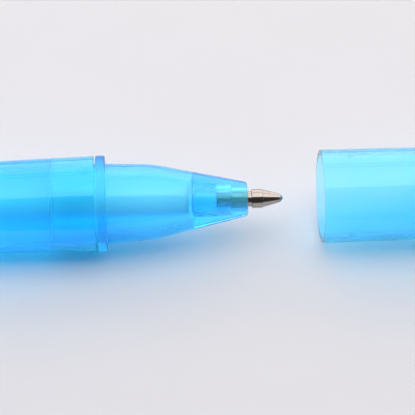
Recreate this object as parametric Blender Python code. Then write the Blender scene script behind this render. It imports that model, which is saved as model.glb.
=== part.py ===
"""Invisible ink pen: a translucent ball pen with its cap taken off, and the ultraviolet lamp in that cap.

Lengths are in metres. The pen lies along X with its point toward +X and rests on Z = 0. Pen pieces are
measured from the collar's front face and cap pieces from the cap's mouth. Each set hangs on an empty on
its own axis. In the cap's frame the switch faces +Z and the clip faces -Z.
"""

import bmesh
import bpy
from collections import namedtuple
from math import acos, asin, atan2, cos, hypot, pi, radians, sin, sqrt, tau

MM = 0.001

# Fits and facets
SEAT_GAP = 0.05 * MM
SLIDE_GAP = 0.10 * MM
CAP_GAP = 0.18 * MM
WELD = 0.0001 * MM
SHARP_ANGLE = radians(32)
SHELL_SIDES = 40
SMALL_SIDES = 24
TAPER_STEPS = 7
ROUND_STEPS = 4
SLOT_STEPS = 6
DOME_STEPS = 8

# Barrel
BARREL_LENGTH = 84.7 * MM
BARREL_FRONT_RADIUS = 5.8 * MM
BARREL_TAIL_RADIUS = 4.7 * MM
BARREL_BEND = 37.5 * MM
BARREL_FRONT_SLOPE = 0.0244
BARREL_WALL = 1.05 * MM
BARREL_END_WALL = 1.4 * MM
BARREL_END_ROUND = 1.3 * MM
TAIL_BOSS_LENGTH = 4.0 * MM
TAIL_BOSS_WALL = 0.9 * MM
JOINT_SLIT = 0.18 * MM

# Nose section
COLLAR_WIDTH = 1.1 * MM
EDGE_ROUND = 0.12 * MM
NOSE_RADIUS = 4.82 * MM
NOSE_BREAK_RADIUS = 4.6 * MM
NOSE_STRAIGHT = 5.6 * MM
NOSE_LENGTH = 17.1 * MM
NOSE_END_RADIUS = 2.05 * MM
NOSE_END_ROUND = 0.35 * MM
NOSE_WALL = 1.05 * MM
NOSE_SOLID = 6.7 * MM
NOSE_BLEND = 1.4 * MM
POINT_GRIP = 2.1 * MM
SPIGOT_LENGTH = 5.3 * MM
SPIGOT_LAND = 0.6 * MM
SPIGOT_GROOVE = 1.1 * MM
SPIGOT_BEAD = 0.25 * MM
BEAD_COUNT = 2
BEAD_RAMP = 0.3 * MM

# Refill
TUBE_RADIUS = 1.6 * MM
TUBE_WALL = 0.55 * MM
TUBE_TAIL_ROOM = 0.5 * MM
INK_LENGTH = 62.0 * MM
HOLDER_RADIUS = 1.4 * MM
HOLDER_FLANGE_RADIUS = 1.8 * MM
HOLDER_FLANGE = 0.5 * MM
HOLDER_SPIGOT = 4.0 * MM
INK_CHANNEL = 0.45 * MM

# Metal point and ball
SHANK_RADIUS = 0.9 * MM
SHANK_LENGTH = 1.8 * MM
GRIP_RADIUS = 1.1 * MM
NECK_RADIUS = 0.95 * MM
NECK_LENGTH = 0.5 * MM
HEAD_RADIUS = 1.15 * MM
HEAD_LENGTH = 1.3 * MM
POINT_CONE = 2.3 * MM
BALL_RADIUS = 0.4 * MM
BALL_SHOWS = 0.2 * MM
BALL_GAP = 0.03 * MM
LIP_WALL = 0.06 * MM
BALL_FEED = 0.2 * MM
BALL_SIDES = 20
CUP_STEPS = 9

# Cap shell
CAP_WALL = 0.68 * MM
CAP_MOUTH_DEPTH = 3.3 * MM
CAP_MOUTH_STEP = 0.1 * MM
CAP_DRAFT = 0.1 * MM
CAP_END_WALL = 0.57 * MM
CAP_OFF_GAP = 4.6 * MM
POINT_ROOM = 1.6 * MM
RIB_WIDTH = 1.0 * MM
RIB_HEIGHT = 1.5 * MM

# Button cells and their spring
CELL_COUNT = 3
CELL_RADIUS = 3.95 * MM
CELL_HEIGHT = 3.55 * MM
CELL_ROUND = 0.3 * MM
CELL_CAP_RADIUS = 3.1 * MM
CELL_CAP_HEIGHT = 0.3 * MM
CELL_TOUCH = 0.02 * MM
CELL_OFFSET = 0.35 * MM
SPRING_LENGTH = 2.3 * MM
SPRING_WIRE = 0.36 * MM
SPRING_WIDE_RADIUS = 2.9 * MM
SPRING_NARROW_RADIUS = 1.9 * MM
SPRING_TURNS = 3.5
SPRING_STEPS = 12
WIRE_ROUND_STEPS = 2

# Lamp and its cradle
CRADLE_WALL = 0.35 * MM
CRADLE_END = 1.0 * MM
LEAD_ROOM = 0.85 * MM
LEAD_WIRE = 0.45 * MM
LEAD_SPACING = 2.54 * MM
LEAD_FOOT = 1.6 * MM
LAMP_RADIUS = 2.5 * MM
LAMP_LENGTH = 8.6 * MM
LAMP_FLANGE_RADIUS = 2.95 * MM
LAMP_FLANGE = 1.0 * MM

# Switch
BUTTON_LENGTH = 5.0 * MM
BUTTON_WIDTH = 3.0 * MM
BUTTON_STANDS = 0.7 * MM
BUTTON_ROUND = 0.35 * MM
BUTTON_ROUND_STEPS = 3
BUTTON_TRAVEL = 0.45 * MM
BUTTON_SKIRT = 0.3 * MM
BUTTON_LIP = 0.45 * MM
BUTTON_LIP_HEIGHT = 0.35 * MM
NUB_SET = 0.9 * MM
NUB_LENGTH = 0.8 * MM
NUB_HEIGHT = 0.25 * MM
LEAF_WIDTH = 2.0 * MM
LEAF_THICKNESS = 0.15 * MM
LEAF_SEAT = 0.6 * MM
CONTACT_GAP = 0.08 * MM
SWITCH_ROOM = 0.6 * MM

# End cover and clip
COVER_PLUG = 4.7 * MM
COVER_FLANGE = 1.3 * MM
COVER_ROUND = 0.5 * MM
CLIP_RING = 1.0 * MM
CLIP_RING_BITE = 0.1 * MM
CLIP_LENGTH = 31.0 * MM
CLIP_GAP = 2.4 * MM
CLIP_THICKNESS = 1.2 * MM
CLIP_WIDTH = 3.8 * MM
CLIP_TIP_WIDTH = 3.2 * MM
CLIP_CORNER = 1.8 * MM
CLIP_BEAD = 1.5 * MM
CLIP_BEAD_GAP = 0.3 * MM
CLIP_ROUND = 0.25 * MM
CLIP_ROUND_STEPS = 2
CLIP_ROUND_ANGLE = radians(60)
CLIP_CORNER_STEPS = 5

# Places along the pen, from the collar's front face
barrel_front = -COLLAR_WIDTH - JOINT_SLIT
barrel_rear = barrel_front - BARREL_LENGTH
barrel_floor = barrel_rear + BARREL_END_WALL
spigot_rear = -COLLAR_WIDTH - SPIGOT_LENGTH
bore_step = NOSE_LENGTH - POINT_GRIP
nose_shoulder = NOSE_LENGTH - NOSE_SOLID
flange_front = nose_shoulder - SEAT_GAP
flange_rear = flange_front - HOLDER_FLANGE
holder_rear = flange_rear - HOLDER_SPIGOT
tube_front = flange_rear - SEAT_GAP
head_rear = NOSE_LENGTH + NECK_LENGTH
head_front = head_rear + HEAD_LENGTH
lip_front = head_front + POINT_CONE
point_end = lip_front + BALL_SHOWS
ball_centre = point_end - BALL_RADIUS

# Radii that pieces share
tube_bore = TUBE_RADIUS - TUBE_WALL
socket_radius = NOSE_RADIUS + SEAT_GAP
holder_bore = HOLDER_RADIUS + SEAT_GAP
mouth_bore = NOSE_RADIUS + CAP_GAP
mouth_radius = mouth_bore + CAP_WALL
cell_pocket = CELL_RADIUS + SLIDE_GAP
cradle_radius = cell_pocket + CELL_OFFSET + CRADLE_WALL
lamp_bore = cradle_radius + SLIDE_GAP
cap_end_radius = lamp_bore + CAP_END_WALL

# Places along the cap, from its mouth
rib_front = point_end + POINT_ROOM
rib_rear = rib_front + RIB_WIDTH
cradle_front = rib_rear + SEAT_GAP
spring_seat = cradle_front + CRADLE_END
cells_front = spring_seat + SPRING_LENGTH
cell_pitch = CELL_HEIGHT + CELL_TOUCH
cells_rear = cells_front + CELL_COUNT * cell_pitch
lead_wall = cells_rear + LEAD_ROOM
cradle_rear = lead_wall + CRADLE_END
lamp_base = cradle_rear + SEAT_GAP
lamp_shoulder = lamp_base + LAMP_FLANGE
lamp_end = lamp_base + LAMP_LENGTH
cap_end = lamp_base + COVER_PLUG
ring_front = cap_end + SEAT_GAP
ring_rear = ring_front + CLIP_RING
cover_front = ring_rear + SEAT_GAP
cover_rear = cover_front + COVER_FLANGE

# Heights in the switch, from the cap's axis
can_top = CELL_RADIUS - CELL_OFFSET
leaf_bottom = can_top + CONTACT_GAP + BUTTON_TRAVEL
leaf_top = leaf_bottom + LEAF_THICKNESS
nub_bottom = leaf_top + SEAT_GAP
channel_roof = nub_bottom + NUB_HEIGHT
lip_half_width = BUTTON_WIDTH / 2 + BUTTON_LIP
lip_top = sqrt((lamp_bore * cos(pi / SHELL_SIDES)) ** 2 - lip_half_width**2) - SLIDE_GAP
lip_bottom = lip_top - BUTTON_LIP_HEIGHT
button_top = cap_end_radius + BUTTON_STANDS
button_centre = cells_front + BUTTON_LENGTH / 2
nub_centre = cells_front + NUB_SET

# How the two parts lie: the clip's outer corner meets the table, and the origin is under the middle
axis_height = max(BARREL_FRONT_RADIUS, mouth_radius)
clip_inner = cap_end_radius + CLIP_GAP
clip_reach = clip_inner + CLIP_THICKNESS
clip_corner_reach = hypot(clip_reach, CLIP_WIDTH / 2)
clip_roll = acos(axis_height / clip_corner_reach) + atan2(CLIP_WIDTH / 2, clip_reach)
back_edge = clip_reach * sin(clip_roll) + CLIP_WIDTH / 2 * cos(clip_roll)
mouth_place = point_end + CAP_OFF_GAP
middle = (barrel_rear + mouth_place + lamp_end) / 2

Finish = namedtuple("Finish", "colour roughness metallic transmission")
BLUE_CLEAR = Finish((0.05, 0.50, 0.90), 0.08, 0.0, 0.85)
CAP_CLEAR = Finish((0.16, 0.66, 0.95), 0.06, 0.0, 0.9)
MILKY = Finish((0.86, 0.90, 0.93), 0.35, 0.0, 0.4)
CLEAR = Finish((0.90, 0.95, 0.98), 0.10, 0.0, 0.9)
WHITE = Finish((0.85, 0.86, 0.88), 0.45, 0.0, 0.0)
NICKEL = Finish((0.72, 0.69, 0.65), 0.22, 1.0, 0.0)
STEEL = Finish((0.60, 0.61, 0.63), 0.25, 1.0, 0.0)
BRONZE = Finish((0.72, 0.52, 0.26), 0.28, 1.0, 0.0)
VIOLET = Finish((0.62, 0.52, 0.86), 0.06, 0.0, 0.8)


def make_material(name, finish):
    """Returns a Principled material with one piece's finish."""
    material = bpy.data.materials.new(name)
    material.use_nodes = True
    shader = material.node_tree.nodes["Principled BSDF"]
    shader.inputs["Base Color"].default_value = (*finish.colour, 1.0)
    shader.inputs["Roughness"].default_value = finish.roughness
    shader.inputs["Metallic"].default_value = finish.metallic
    shader.inputs["Transmission Weight"].default_value = finish.transmission
    return material


def link_piece(name, data, parent, finish):
    """Adds an object with its own material below a parent empty."""
    data.materials.append(make_material(name, finish))
    piece = bpy.data.objects.new(name, data)
    piece.parent = parent
    bpy.context.scene.collection.objects.link(piece)
    return piece


def add_piece(name, shape, parent, finish):
    """Turns a finished bmesh into an object, smooth where it is round."""
    mesh = bpy.data.meshes.new(name)
    shape.to_mesh(mesh)
    shape.free()
    mesh.shade_smooth()
    mesh.set_sharp_from_angle(angle=SHARP_ANGLE)
    return link_piece(name, mesh, parent, finish)


def add_empty(name, place, roll=0.0):
    """Adds an empty on an axis, turned about X."""
    empty = bpy.data.objects.new(name, None)
    empty.location = place
    empty.rotation_euler = (roll, 0.0, 0.0)
    bpy.context.scene.collection.objects.link(empty)
    return empty


def arc(centre, radius, start, end, steps):
    """Returns corners on an arc. Angles run from +X toward the radius, or toward the second axis."""
    angles = [start + (end - start) * step / steps for step in range(steps + 1)]
    return [(centre[0] + radius * cos(a), centre[1] + radius * sin(a)) for a in angles]


def bend(first, middle_corner, last, steps):
    """Returns corners on a quadratic curve from first to last, drawn toward the middle corner."""
    shares = [step / steps for step in range(steps + 1)]
    weights = [((1 - t) ** 2, 2 * t * (1 - t), t * t) for t in shares]
    corners = list(zip(first, middle_corner, last))
    return [tuple(sum(w * c for w, c in zip(weight, corner)) for corner in corners) for weight in weights]


def stadium(centre, length, width, steps):
    """Returns the (x, y) outline of a slot with round ends."""
    half = width / 2
    reach = length / 2 - half
    front = arc((centre + reach, 0.0), half, -pi / 2, pi / 2, steps)
    back = arc((centre - reach, 0.0), half, pi / 2, 3 * pi / 2, steps)
    return front + back


def turned(name, outline, sides, parent, finish):
    """Makes a solid of revolution about X from (x, radius) corners.

    An outline that starts on the axis also ends there. Any other outline is a closed loop.
    """
    shape = bmesh.new()
    corners = [shape.verts.new((x, 0.0, radius)) for x, radius in outline]
    pairs = list(zip(corners, corners[1:]))
    if outline[0][1] > 0.0:
        pairs.append((corners[-1], corners[0]))
    edges = [shape.edges.new(pair) for pair in pairs]
    bmesh.ops.spin(
        shape, geom=corners + edges, cent=(0, 0, 0), axis=(1, 0, 0), angle=tau, steps=sides, use_merge=True
    )
    bmesh.ops.remove_doubles(shape, verts=shape.verts, dist=WELD)
    bmesh.ops.recalc_face_normals(shape, faces=shape.faces)
    return add_piece(name, shape, parent, finish)


def prism_shape(outline, low, high, third_axis):
    """Returns a bmesh of an outline carried straight from low to high along X, Y or Z."""
    place = {
        "X": lambda u, v, w: (w, u, v),
        "Y": lambda u, v, w: (u, w, v),
        "Z": lambda u, v, w: (u, v, w),
    }[third_axis]
    shape = bmesh.new()
    near = [shape.verts.new(place(u, v, low)) for u, v in outline]
    far = [shape.verts.new(place(u, v, high)) for u, v in outline]
    shape.faces.new(near)
    shape.faces.new(far)
    for i in range(len(outline)):
        j = (i + 1) % len(outline)
        shape.faces.new((near[i], near[j], far[j], far[i]))
    bmesh.ops.recalc_face_normals(shape, faces=shape.faces)
    return shape


def rectangle(low_u, high_u, low_v, high_v):
    """Returns the four corners of a rectangle."""
    return [(low_u, low_v), (high_u, low_v), (high_u, high_v), (low_u, high_v)]


def combine(piece, operation, operand):
    """Cuts an operand from a piece, or joins it on, and hides the operand."""
    operand.hide_render = True
    operand.display_type = "WIRE"
    modifier = piece.modifiers.new(operand.name, "BOOLEAN")
    modifier.operation = operation
    modifier.solver = "EXACT"
    modifier.object = operand


def cut(piece, name, shape):
    """Cuts a shape out of a piece."""
    combine(piece, "DIFFERENCE", add_piece(name, shape, piece.parent, WHITE))


def join(piece, name, shape):
    """Joins a shape onto a piece."""
    combine(piece, "UNION", add_piece(name, shape, piece.parent, WHITE))


def make_barrel(pen):
    """The rear shell: a curved taper, a closed end with a boss for the refill, and a socket for the nose."""
    taper_start = (barrel_rear + BARREL_END_ROUND, BARREL_TAIL_RADIUS)
    taper_end = (barrel_front, BARREL_FRONT_RADIUS)
    waist = (barrel_front - BARREL_BEND, BARREL_FRONT_RADIUS - BARREL_FRONT_SLOPE * BARREL_BEND)
    end_centre = (barrel_rear + BARREL_END_ROUND, BARREL_TAIL_RADIUS - BARREL_END_ROUND)
    boss_bore = TUBE_RADIUS + SLIDE_GAP
    boss_radius = boss_bore + TAIL_BOSS_WALL
    socket_floor = spigot_rear - SEAT_GAP

    outside = bend(taper_start, waist, taper_end, TAPER_STEPS)
    inside = [(x, radius - BARREL_WALL) for x, radius in reversed(outside) if barrel_floor < x < socket_floor]
    outline = [(barrel_rear, 0.0)]
    outline += arc(end_centre, BARREL_END_ROUND, pi, pi / 2, ROUND_STEPS)[:-1]
    outline += outside
    outline += [(barrel_front, socket_radius), (socket_floor, socket_radius)]
    outline += [(socket_floor, inside[0][1])]
    outline += inside
    outline += [(barrel_floor, inside[-1][1]), (barrel_floor, boss_radius)]
    outline += [(barrel_floor + TAIL_BOSS_LENGTH, boss_radius), (barrel_floor + TAIL_BOSS_LENGTH, boss_bore)]
    outline += [(barrel_floor, boss_bore), (barrel_floor, 0.0)]
    turned("barrel", outline, SHELL_SIDES, pen, BLUE_CLEAR)


def spigot_outline():
    """The spigot from its rear rim to the collar: a lead-in, snap beads, a groove and a land."""
    waist = NOSE_RADIUS - SPIGOT_BEAD
    groove_front = -COLLAR_WIDTH - SPIGOT_LAND
    groove_rear = groove_front - SPIGOT_GROOVE
    pitch = (groove_rear - spigot_rear) / BEAD_COUNT
    outline = [(spigot_rear, waist)]
    for bead in range(BEAD_COUNT):
        start = spigot_rear + bead * pitch
        outline += [(start + BEAD_RAMP, NOSE_RADIUS), (start + pitch - BEAD_RAMP, NOSE_RADIUS)]
        outline += [(start + pitch, waist)]
    return outline + [(groove_front, waist), (groove_front, NOSE_RADIUS), (-COLLAR_WIDTH, NOSE_RADIUS)]


def make_nose_section(pen):
    """The front section in one moulding: spigot, collar, straight part and cone, hollow to the shoulder."""
    cone_start = (NOSE_STRAIGHT, NOSE_BREAK_RADIUS)
    cone_slope = (NOSE_BREAK_RADIUS - NOSE_END_RADIUS) / (NOSE_LENGTH - NOSE_STRAIGHT)
    side_slope = (NOSE_RADIUS - NOSE_BREAK_RADIUS) / NOSE_STRAIGHT
    blend_rear = (NOSE_STRAIGHT - NOSE_BLEND, NOSE_BREAK_RADIUS + side_slope * NOSE_BLEND)
    blend_front = (NOSE_STRAIGHT + NOSE_BLEND, NOSE_BREAK_RADIUS - cone_slope * NOSE_BLEND)
    end_rear = (NOSE_LENGTH - NOSE_END_ROUND, NOSE_END_RADIUS + cone_slope * NOSE_END_ROUND)
    end_front = (NOSE_LENGTH, NOSE_END_RADIUS - NOSE_END_ROUND)
    cavity_rear = NOSE_RADIUS - SPIGOT_BEAD - NOSE_WALL
    cavity_break = NOSE_BREAK_RADIUS - NOSE_WALL
    cavity_front = NOSE_BREAK_RADIUS - cone_slope * (nose_shoulder - NOSE_STRAIGHT) - NOSE_WALL
    point_bore = GRIP_RADIUS + SEAT_GAP

    outline = spigot_outline()
    outline += [(-COLLAR_WIDTH, BARREL_FRONT_RADIUS - EDGE_ROUND)]
    outline += [(-COLLAR_WIDTH + EDGE_ROUND, BARREL_FRONT_RADIUS), (-EDGE_ROUND, BARREL_FRONT_RADIUS)]
    outline += [(0.0, BARREL_FRONT_RADIUS - EDGE_ROUND), (0.0, NOSE_RADIUS)]
    outline += bend(blend_rear, cone_start, blend_front, ROUND_STEPS)
    outline += bend(end_rear, (NOSE_LENGTH, NOSE_END_RADIUS), end_front, ROUND_STEPS)
    outline += [(NOSE_LENGTH, point_bore), (bore_step, point_bore), (bore_step, holder_bore)]
    outline += [(nose_shoulder, holder_bore), (nose_shoulder, cavity_front)]
    outline += [(NOSE_STRAIGHT, cavity_break), (spigot_rear, cavity_rear)]
    turned("nose_section", outline, SHELL_SIDES, pen, BLUE_CLEAR)


def make_refill(pen):
    """The ink tube, the ink in it and the bush that carries the metal point."""
    tube_rear = barrel_floor + TUBE_TAIL_ROOM
    turned(
        "refill_tube",
        rectangle(tube_rear, tube_front, tube_bore, TUBE_RADIUS),
        SMALL_SIDES,
        pen,
        MILKY,
    )
    ink_front = holder_rear - SEAT_GAP
    ink_rear = ink_front - INK_LENGTH
    ink_radius = tube_bore - SEAT_GAP
    ink = [(ink_rear, 0.0), (ink_rear, ink_radius), (ink_front, ink_radius), (ink_front, 0.0)]
    turned("ink_column", ink, SMALL_SIDES, pen, CLEAR)

    holder_front = bore_step - SEAT_GAP
    shank_socket = bore_step - SHANK_LENGTH - SEAT_GAP
    shank_bore = SHANK_RADIUS + SEAT_GAP
    holder = [(holder_rear, tube_bore - SEAT_GAP), (flange_rear, tube_bore - SEAT_GAP)]
    holder += [(flange_rear, HOLDER_FLANGE_RADIUS), (flange_front, HOLDER_FLANGE_RADIUS)]
    holder += [(flange_front, HOLDER_RADIUS), (holder_front, HOLDER_RADIUS), (holder_front, shank_bore)]
    holder += [(shank_socket, shank_bore), (shank_socket, INK_CHANNEL), (holder_rear, INK_CHANNEL)]
    turned("tip_holder", holder, SMALL_SIDES, pen, CLEAR)


def make_point(pen):
    """The metal point with its swaged ball socket, and the ball, whose origin is its own centre."""
    cup = BALL_RADIUS + BALL_GAP
    lip_angle = acos((lip_front - ball_centre) / cup)
    feed_angle = pi - asin(BALL_FEED / cup)
    lip_radius = cup * sin(lip_angle) + LIP_WALL
    neck_rear = NOSE_LENGTH + SEAT_GAP
    shank_rear = bore_step - SHANK_LENGTH

    outline = [(shank_rear, INK_CHANNEL), (shank_rear, SHANK_RADIUS), (bore_step, SHANK_RADIUS)]
    outline += [(bore_step, GRIP_RADIUS), (neck_rear, GRIP_RADIUS), (neck_rear, NECK_RADIUS)]
    outline += [(head_rear, NECK_RADIUS), (head_rear, HEAD_RADIUS), (head_front, HEAD_RADIUS)]
    outline += [(lip_front, lip_radius)]
    outline += arc((ball_centre, 0.0), cup, lip_angle, feed_angle, CUP_STEPS)
    outline += [(head_front, BALL_FEED), (head_rear, INK_CHANNEL)]
    turned("tip_socket", outline, SMALL_SIDES, pen, NICKEL)

    ball = bmesh.new()
    bmesh.ops.create_uvsphere(ball, u_segments=BALL_SIDES, v_segments=BALL_SIDES // 2, radius=BALL_RADIUS)
    piece = add_piece("writing_ball", ball, pen, STEEL)
    piece.location = (ball_centre, 0.0, 0.0)


def make_cap_shell(cap):
    """The cap: a stepped mouth, a rib that stops the lamp's cradle, and a window for the switch button."""
    bore = mouth_bore - CAP_MOUTH_STEP
    outline = [(0.0, mouth_bore), (0.0, mouth_radius - EDGE_ROUND), (EDGE_ROUND, mouth_radius)]
    outline += [(cap_end, cap_end_radius), (cap_end, lamp_bore), (rib_rear, lamp_bore)]
    outline += [(rib_rear, lamp_bore - RIB_HEIGHT), (rib_front, lamp_bore - RIB_HEIGHT)]
    outline += [(rib_front, bore - CAP_DRAFT), (CAP_MOUTH_DEPTH, bore), (CAP_MOUTH_DEPTH, mouth_bore)]
    shell = turned("cap_shell", outline, SHELL_SIDES, cap, CAP_CLEAR)

    window = stadium(button_centre, BUTTON_LENGTH + 2 * SLIDE_GAP, BUTTON_WIDTH + 2 * SLIDE_GAP, SLOT_STEPS)
    cut(shell, "button_window", prism_shape(window, can_top, 2 * cap_end_radius, "Z"))


def make_cradle(cap):
    """The white cradle: a trough for the cells, an end wall for the lamp's leads and a seat for the leaf."""
    rod = [(cradle_front, 0.0), (cradle_front, cradle_radius)]
    rod += [(cradle_rear, cradle_radius), (cradle_rear, 0.0)]
    cradle = turned("lamp_cradle", rod, SHELL_SIDES, cap, WHITE)

    clear_height = 2 * cap_end_radius
    opening = lip_half_width + SWITCH_ROOM
    edge_angle = asin(opening / cell_pocket)
    trough = arc((0.0, -CELL_OFFSET), cell_pocket, pi / 2 + edge_angle, 5 * pi / 2 - edge_angle, SMALL_SIDES)
    trough += [(opening, clear_height), (-opening, clear_height)]
    cut(cradle, "cell_trough", prism_shape(trough, spring_seat, lead_wall, "X"))

    hole = LEAD_WIRE / 2 + SLIDE_GAP
    for name, height in (("positive_hole", LEAD_SPACING / 2), ("negative_hole", -LEAD_SPACING / 2)):
        square = rectangle(-hole, hole, height - hole, height + hole)
        cut(cradle, name, prism_shape(square, cells_rear, lamp_shoulder, "X"))

    notch_half = LEAF_WIDTH / 2 + SLIDE_GAP
    notch = rectangle(-notch_half, notch_half, leaf_bottom - SLIDE_GAP, clear_height)
    notch_end = lead_wall + LEAF_SEAT + SLIDE_GAP
    cut(cradle, "leaf_notch", prism_shape(notch, cells_rear, notch_end, "X"))


def make_cells(cap):
    """The stack of button cells, each a can with a smaller negative cap, and the spring behind it."""
    can_height = CELL_HEIGHT - CELL_CAP_HEIGHT
    outline = [(0.0, 0.0), (0.0, CELL_RADIUS - CELL_ROUND), (CELL_ROUND, CELL_RADIUS)]
    outline += [(can_height - CELL_ROUND, CELL_RADIUS), (can_height, CELL_RADIUS - CELL_ROUND)]
    outline += [(can_height, CELL_CAP_RADIUS), (CELL_HEIGHT, CELL_CAP_RADIUS), (CELL_HEIGHT, 0.0)]
    for cell in range(CELL_COUNT):
        piece = turned(f"button_cell_{cell + 1}", outline, SHELL_SIDES, cap, STEEL)
        piece.location = (cells_front + cell * cell_pitch, 0.0, -CELL_OFFSET)

    coil = bpy.data.curves.new("battery_spring", "CURVE")
    coil.dimensions = "3D"
    coil.bevel_depth = SPRING_WIRE / 2
    coil.bevel_resolution = WIRE_ROUND_STEPS
    coil.use_fill_caps = True
    wire = coil.splines.new("POLY")
    steps = int(SPRING_TURNS * SPRING_STEPS)
    wire.points.add(steps)
    first = spring_seat + SPRING_WIRE / 2 + SEAT_GAP
    last = cells_front - SPRING_WIRE / 2 - SEAT_GAP
    for step, point in enumerate(wire.points):
        share = step / steps
        angle = tau * SPRING_TURNS * share
        radius = SPRING_WIDE_RADIUS + (SPRING_NARROW_RADIUS - SPRING_WIDE_RADIUS) * share
        x = first + (last - first) * share
        point.co = (x, radius * cos(angle), radius * sin(angle) - CELL_OFFSET, 1.0)
    link_piece("battery_spring", coil, cap, STEEL)


def make_lamp(cap):
    """The ultraviolet lamp and its two bent leads."""
    dome_centre = lamp_end - LAMP_RADIUS
    outline = [(lamp_base, 0.0), (lamp_base, LAMP_FLANGE_RADIUS), (lamp_shoulder, LAMP_FLANGE_RADIUS)]
    outline += [(lamp_shoulder, LAMP_RADIUS)]
    outline += arc((dome_centre, 0.0), LAMP_RADIUS, pi / 2, 0.0, DOME_STEPS)[:-1]
    outline += [(lamp_end, 0.0)]
    turned("uv_lamp", outline, SMALL_SIDES, cap, VIOLET)

    half = LEAD_WIRE / 2
    lead_end = lamp_base - SEAT_GAP
    height = LEAD_SPACING / 2
    foot = cells_rear - CELL_TOUCH + SEAT_GAP
    negative = [(lead_end, -height - half), (foot, -height - half), (foot, LEAD_FOOT - height)]
    negative += [(foot + LEAD_WIRE, LEAD_FOOT - height), (foot + LEAD_WIRE, half - height)]
    negative += [(lead_end, half - height)]
    shape = prism_shape(negative, -half, half, "Y")
    add_piece("lamp_lead_negative", shape, cap, STEEL)

    riser = lead_wall - SEAT_GAP
    riser_top = leaf_bottom - SEAT_GAP
    positive = [(lead_end, height - half), (riser - LEAD_WIRE, height - half)]
    positive += [(riser - LEAD_WIRE, riser_top), (riser, riser_top)]
    positive += [(riser, height + half), (lead_end, height + half)]
    shape = prism_shape(positive, -half, half, "Y")
    add_piece("lamp_lead_positive", shape, cap, STEEL)


def make_switch(cap):
    """The leaf, with its origin where it bends, and the button with side lips, a channel and a nub."""
    leaf_middle = (leaf_bottom + leaf_top) / 2
    leaf_front = nub_centre - NUB_LENGTH - lead_wall
    half = LEAF_THICKNESS / 2
    strip = rectangle(leaf_front, LEAF_SEAT, -half, half)
    leaf = add_piece("contact_leaf", prism_shape(strip, -LEAF_WIDTH / 2, LEAF_WIDTH / 2, "Y"), cap, BRONZE)
    leaf.location = (lead_wall, 0.0, leaf_middle)

    oval = stadium(button_centre, BUTTON_LENGTH, BUTTON_WIDTH, SLOT_STEPS)
    shape = prism_shape(oval, lip_bottom, button_top, "Z")
    rim = [edge for edge in shape.edges if all(v.co.z > button_top - WELD for v in edge.verts)]
    bmesh.ops.bevel(
        shape, geom=rim, offset=BUTTON_ROUND, segments=BUTTON_ROUND_STEPS, profile=0.5, affect="EDGES"
    )
    button = add_piece("switch_button", shape, cap, WHITE)

    lip_reach = (BUTTON_LENGTH - BUTTON_WIDTH) / 2 + BUTTON_LIP
    lips = rectangle(button_centre - lip_reach, button_centre + lip_reach, lip_bottom, lip_top)
    join(button, "button_lips", prism_shape(lips, -lip_half_width, lip_half_width, "Y"))
    channel_half = BUTTON_WIDTH / 2 - BUTTON_SKIRT
    channel = rectangle(-channel_half, channel_half, can_top, channel_roof)
    channel_shape = prism_shape(channel, button_centre - BUTTON_LENGTH, button_centre + BUTTON_LENGTH, "X")
    cut(button, "button_channel", channel_shape)
    nub_rear = nub_centre - NUB_LENGTH / 2
    nub = rectangle(nub_rear, nub_rear + NUB_LENGTH, nub_bottom, button_top - BUTTON_ROUND)
    join(button, "button_nub", prism_shape(nub, -LEAF_WIDTH / 4, LEAF_WIDTH / 4, "Y"))


def make_end_cover(cap):
    """The plug that closes the cap and traps the clip's ring and the lamp's flange."""
    lamp_hole = LAMP_RADIUS + SLIDE_GAP
    flange_hole = LAMP_FLANGE_RADIUS + SLIDE_GAP
    plug_radius = lamp_bore - SEAT_GAP
    flange_seat = lamp_shoulder + SEAT_GAP
    outline = [(lamp_base, flange_hole), (lamp_base, plug_radius), (cover_front, plug_radius)]
    outline += [(cover_front, cap_end_radius)]
    round_centre = (cover_rear - COVER_ROUND, cap_end_radius - COVER_ROUND)
    outline += arc(round_centre, COVER_ROUND, pi / 2, 0.0, ROUND_STEPS)
    outline += [(cover_rear, lamp_hole), (flange_seat, lamp_hole), (flange_seat, flange_hole)]
    turned("end_cover", outline, SHELL_SIDES, cap, CAP_CLEAR)


def clip_outline():
    """The clip's side view, with the arm below the cap: root, outer corner, arm, bead and inner corner."""
    root = -(lamp_bore + CLIP_RING_BITE)
    tip = ring_front - CLIP_LENGTH
    share = tip / cap_end
    cap_surface = mouth_radius + (cap_end_radius - mouth_radius) * share
    bead_low = -(cap_surface + CLIP_BEAD_GAP)
    bead_middle = tip + CLIP_BEAD
    outline = [(ring_front, root), (ring_rear, root)]
    outer_centre = (ring_rear - CLIP_CORNER, CLIP_CORNER - clip_reach)
    outline += arc(outer_centre, CLIP_CORNER, 0.0, -pi / 2, CLIP_CORNER_STEPS)
    outline += bend((bead_middle, -clip_reach), (tip, -clip_reach), (tip, -clip_inner), ROUND_STEPS)
    bead_draw = (bead_middle, 2 * bead_low + clip_inner)
    outline += bend((tip, -clip_inner), bead_draw, (tip + 2 * CLIP_BEAD, -clip_inner), SLOT_STEPS)[1:]
    inner_corner = CLIP_CORNER - CLIP_RING
    inner_centre = (ring_front - inner_corner, inner_corner - clip_inner)
    return outline + arc(inner_centre, inner_corner, -pi / 2, 0.0, ROUND_STEPS)


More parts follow.
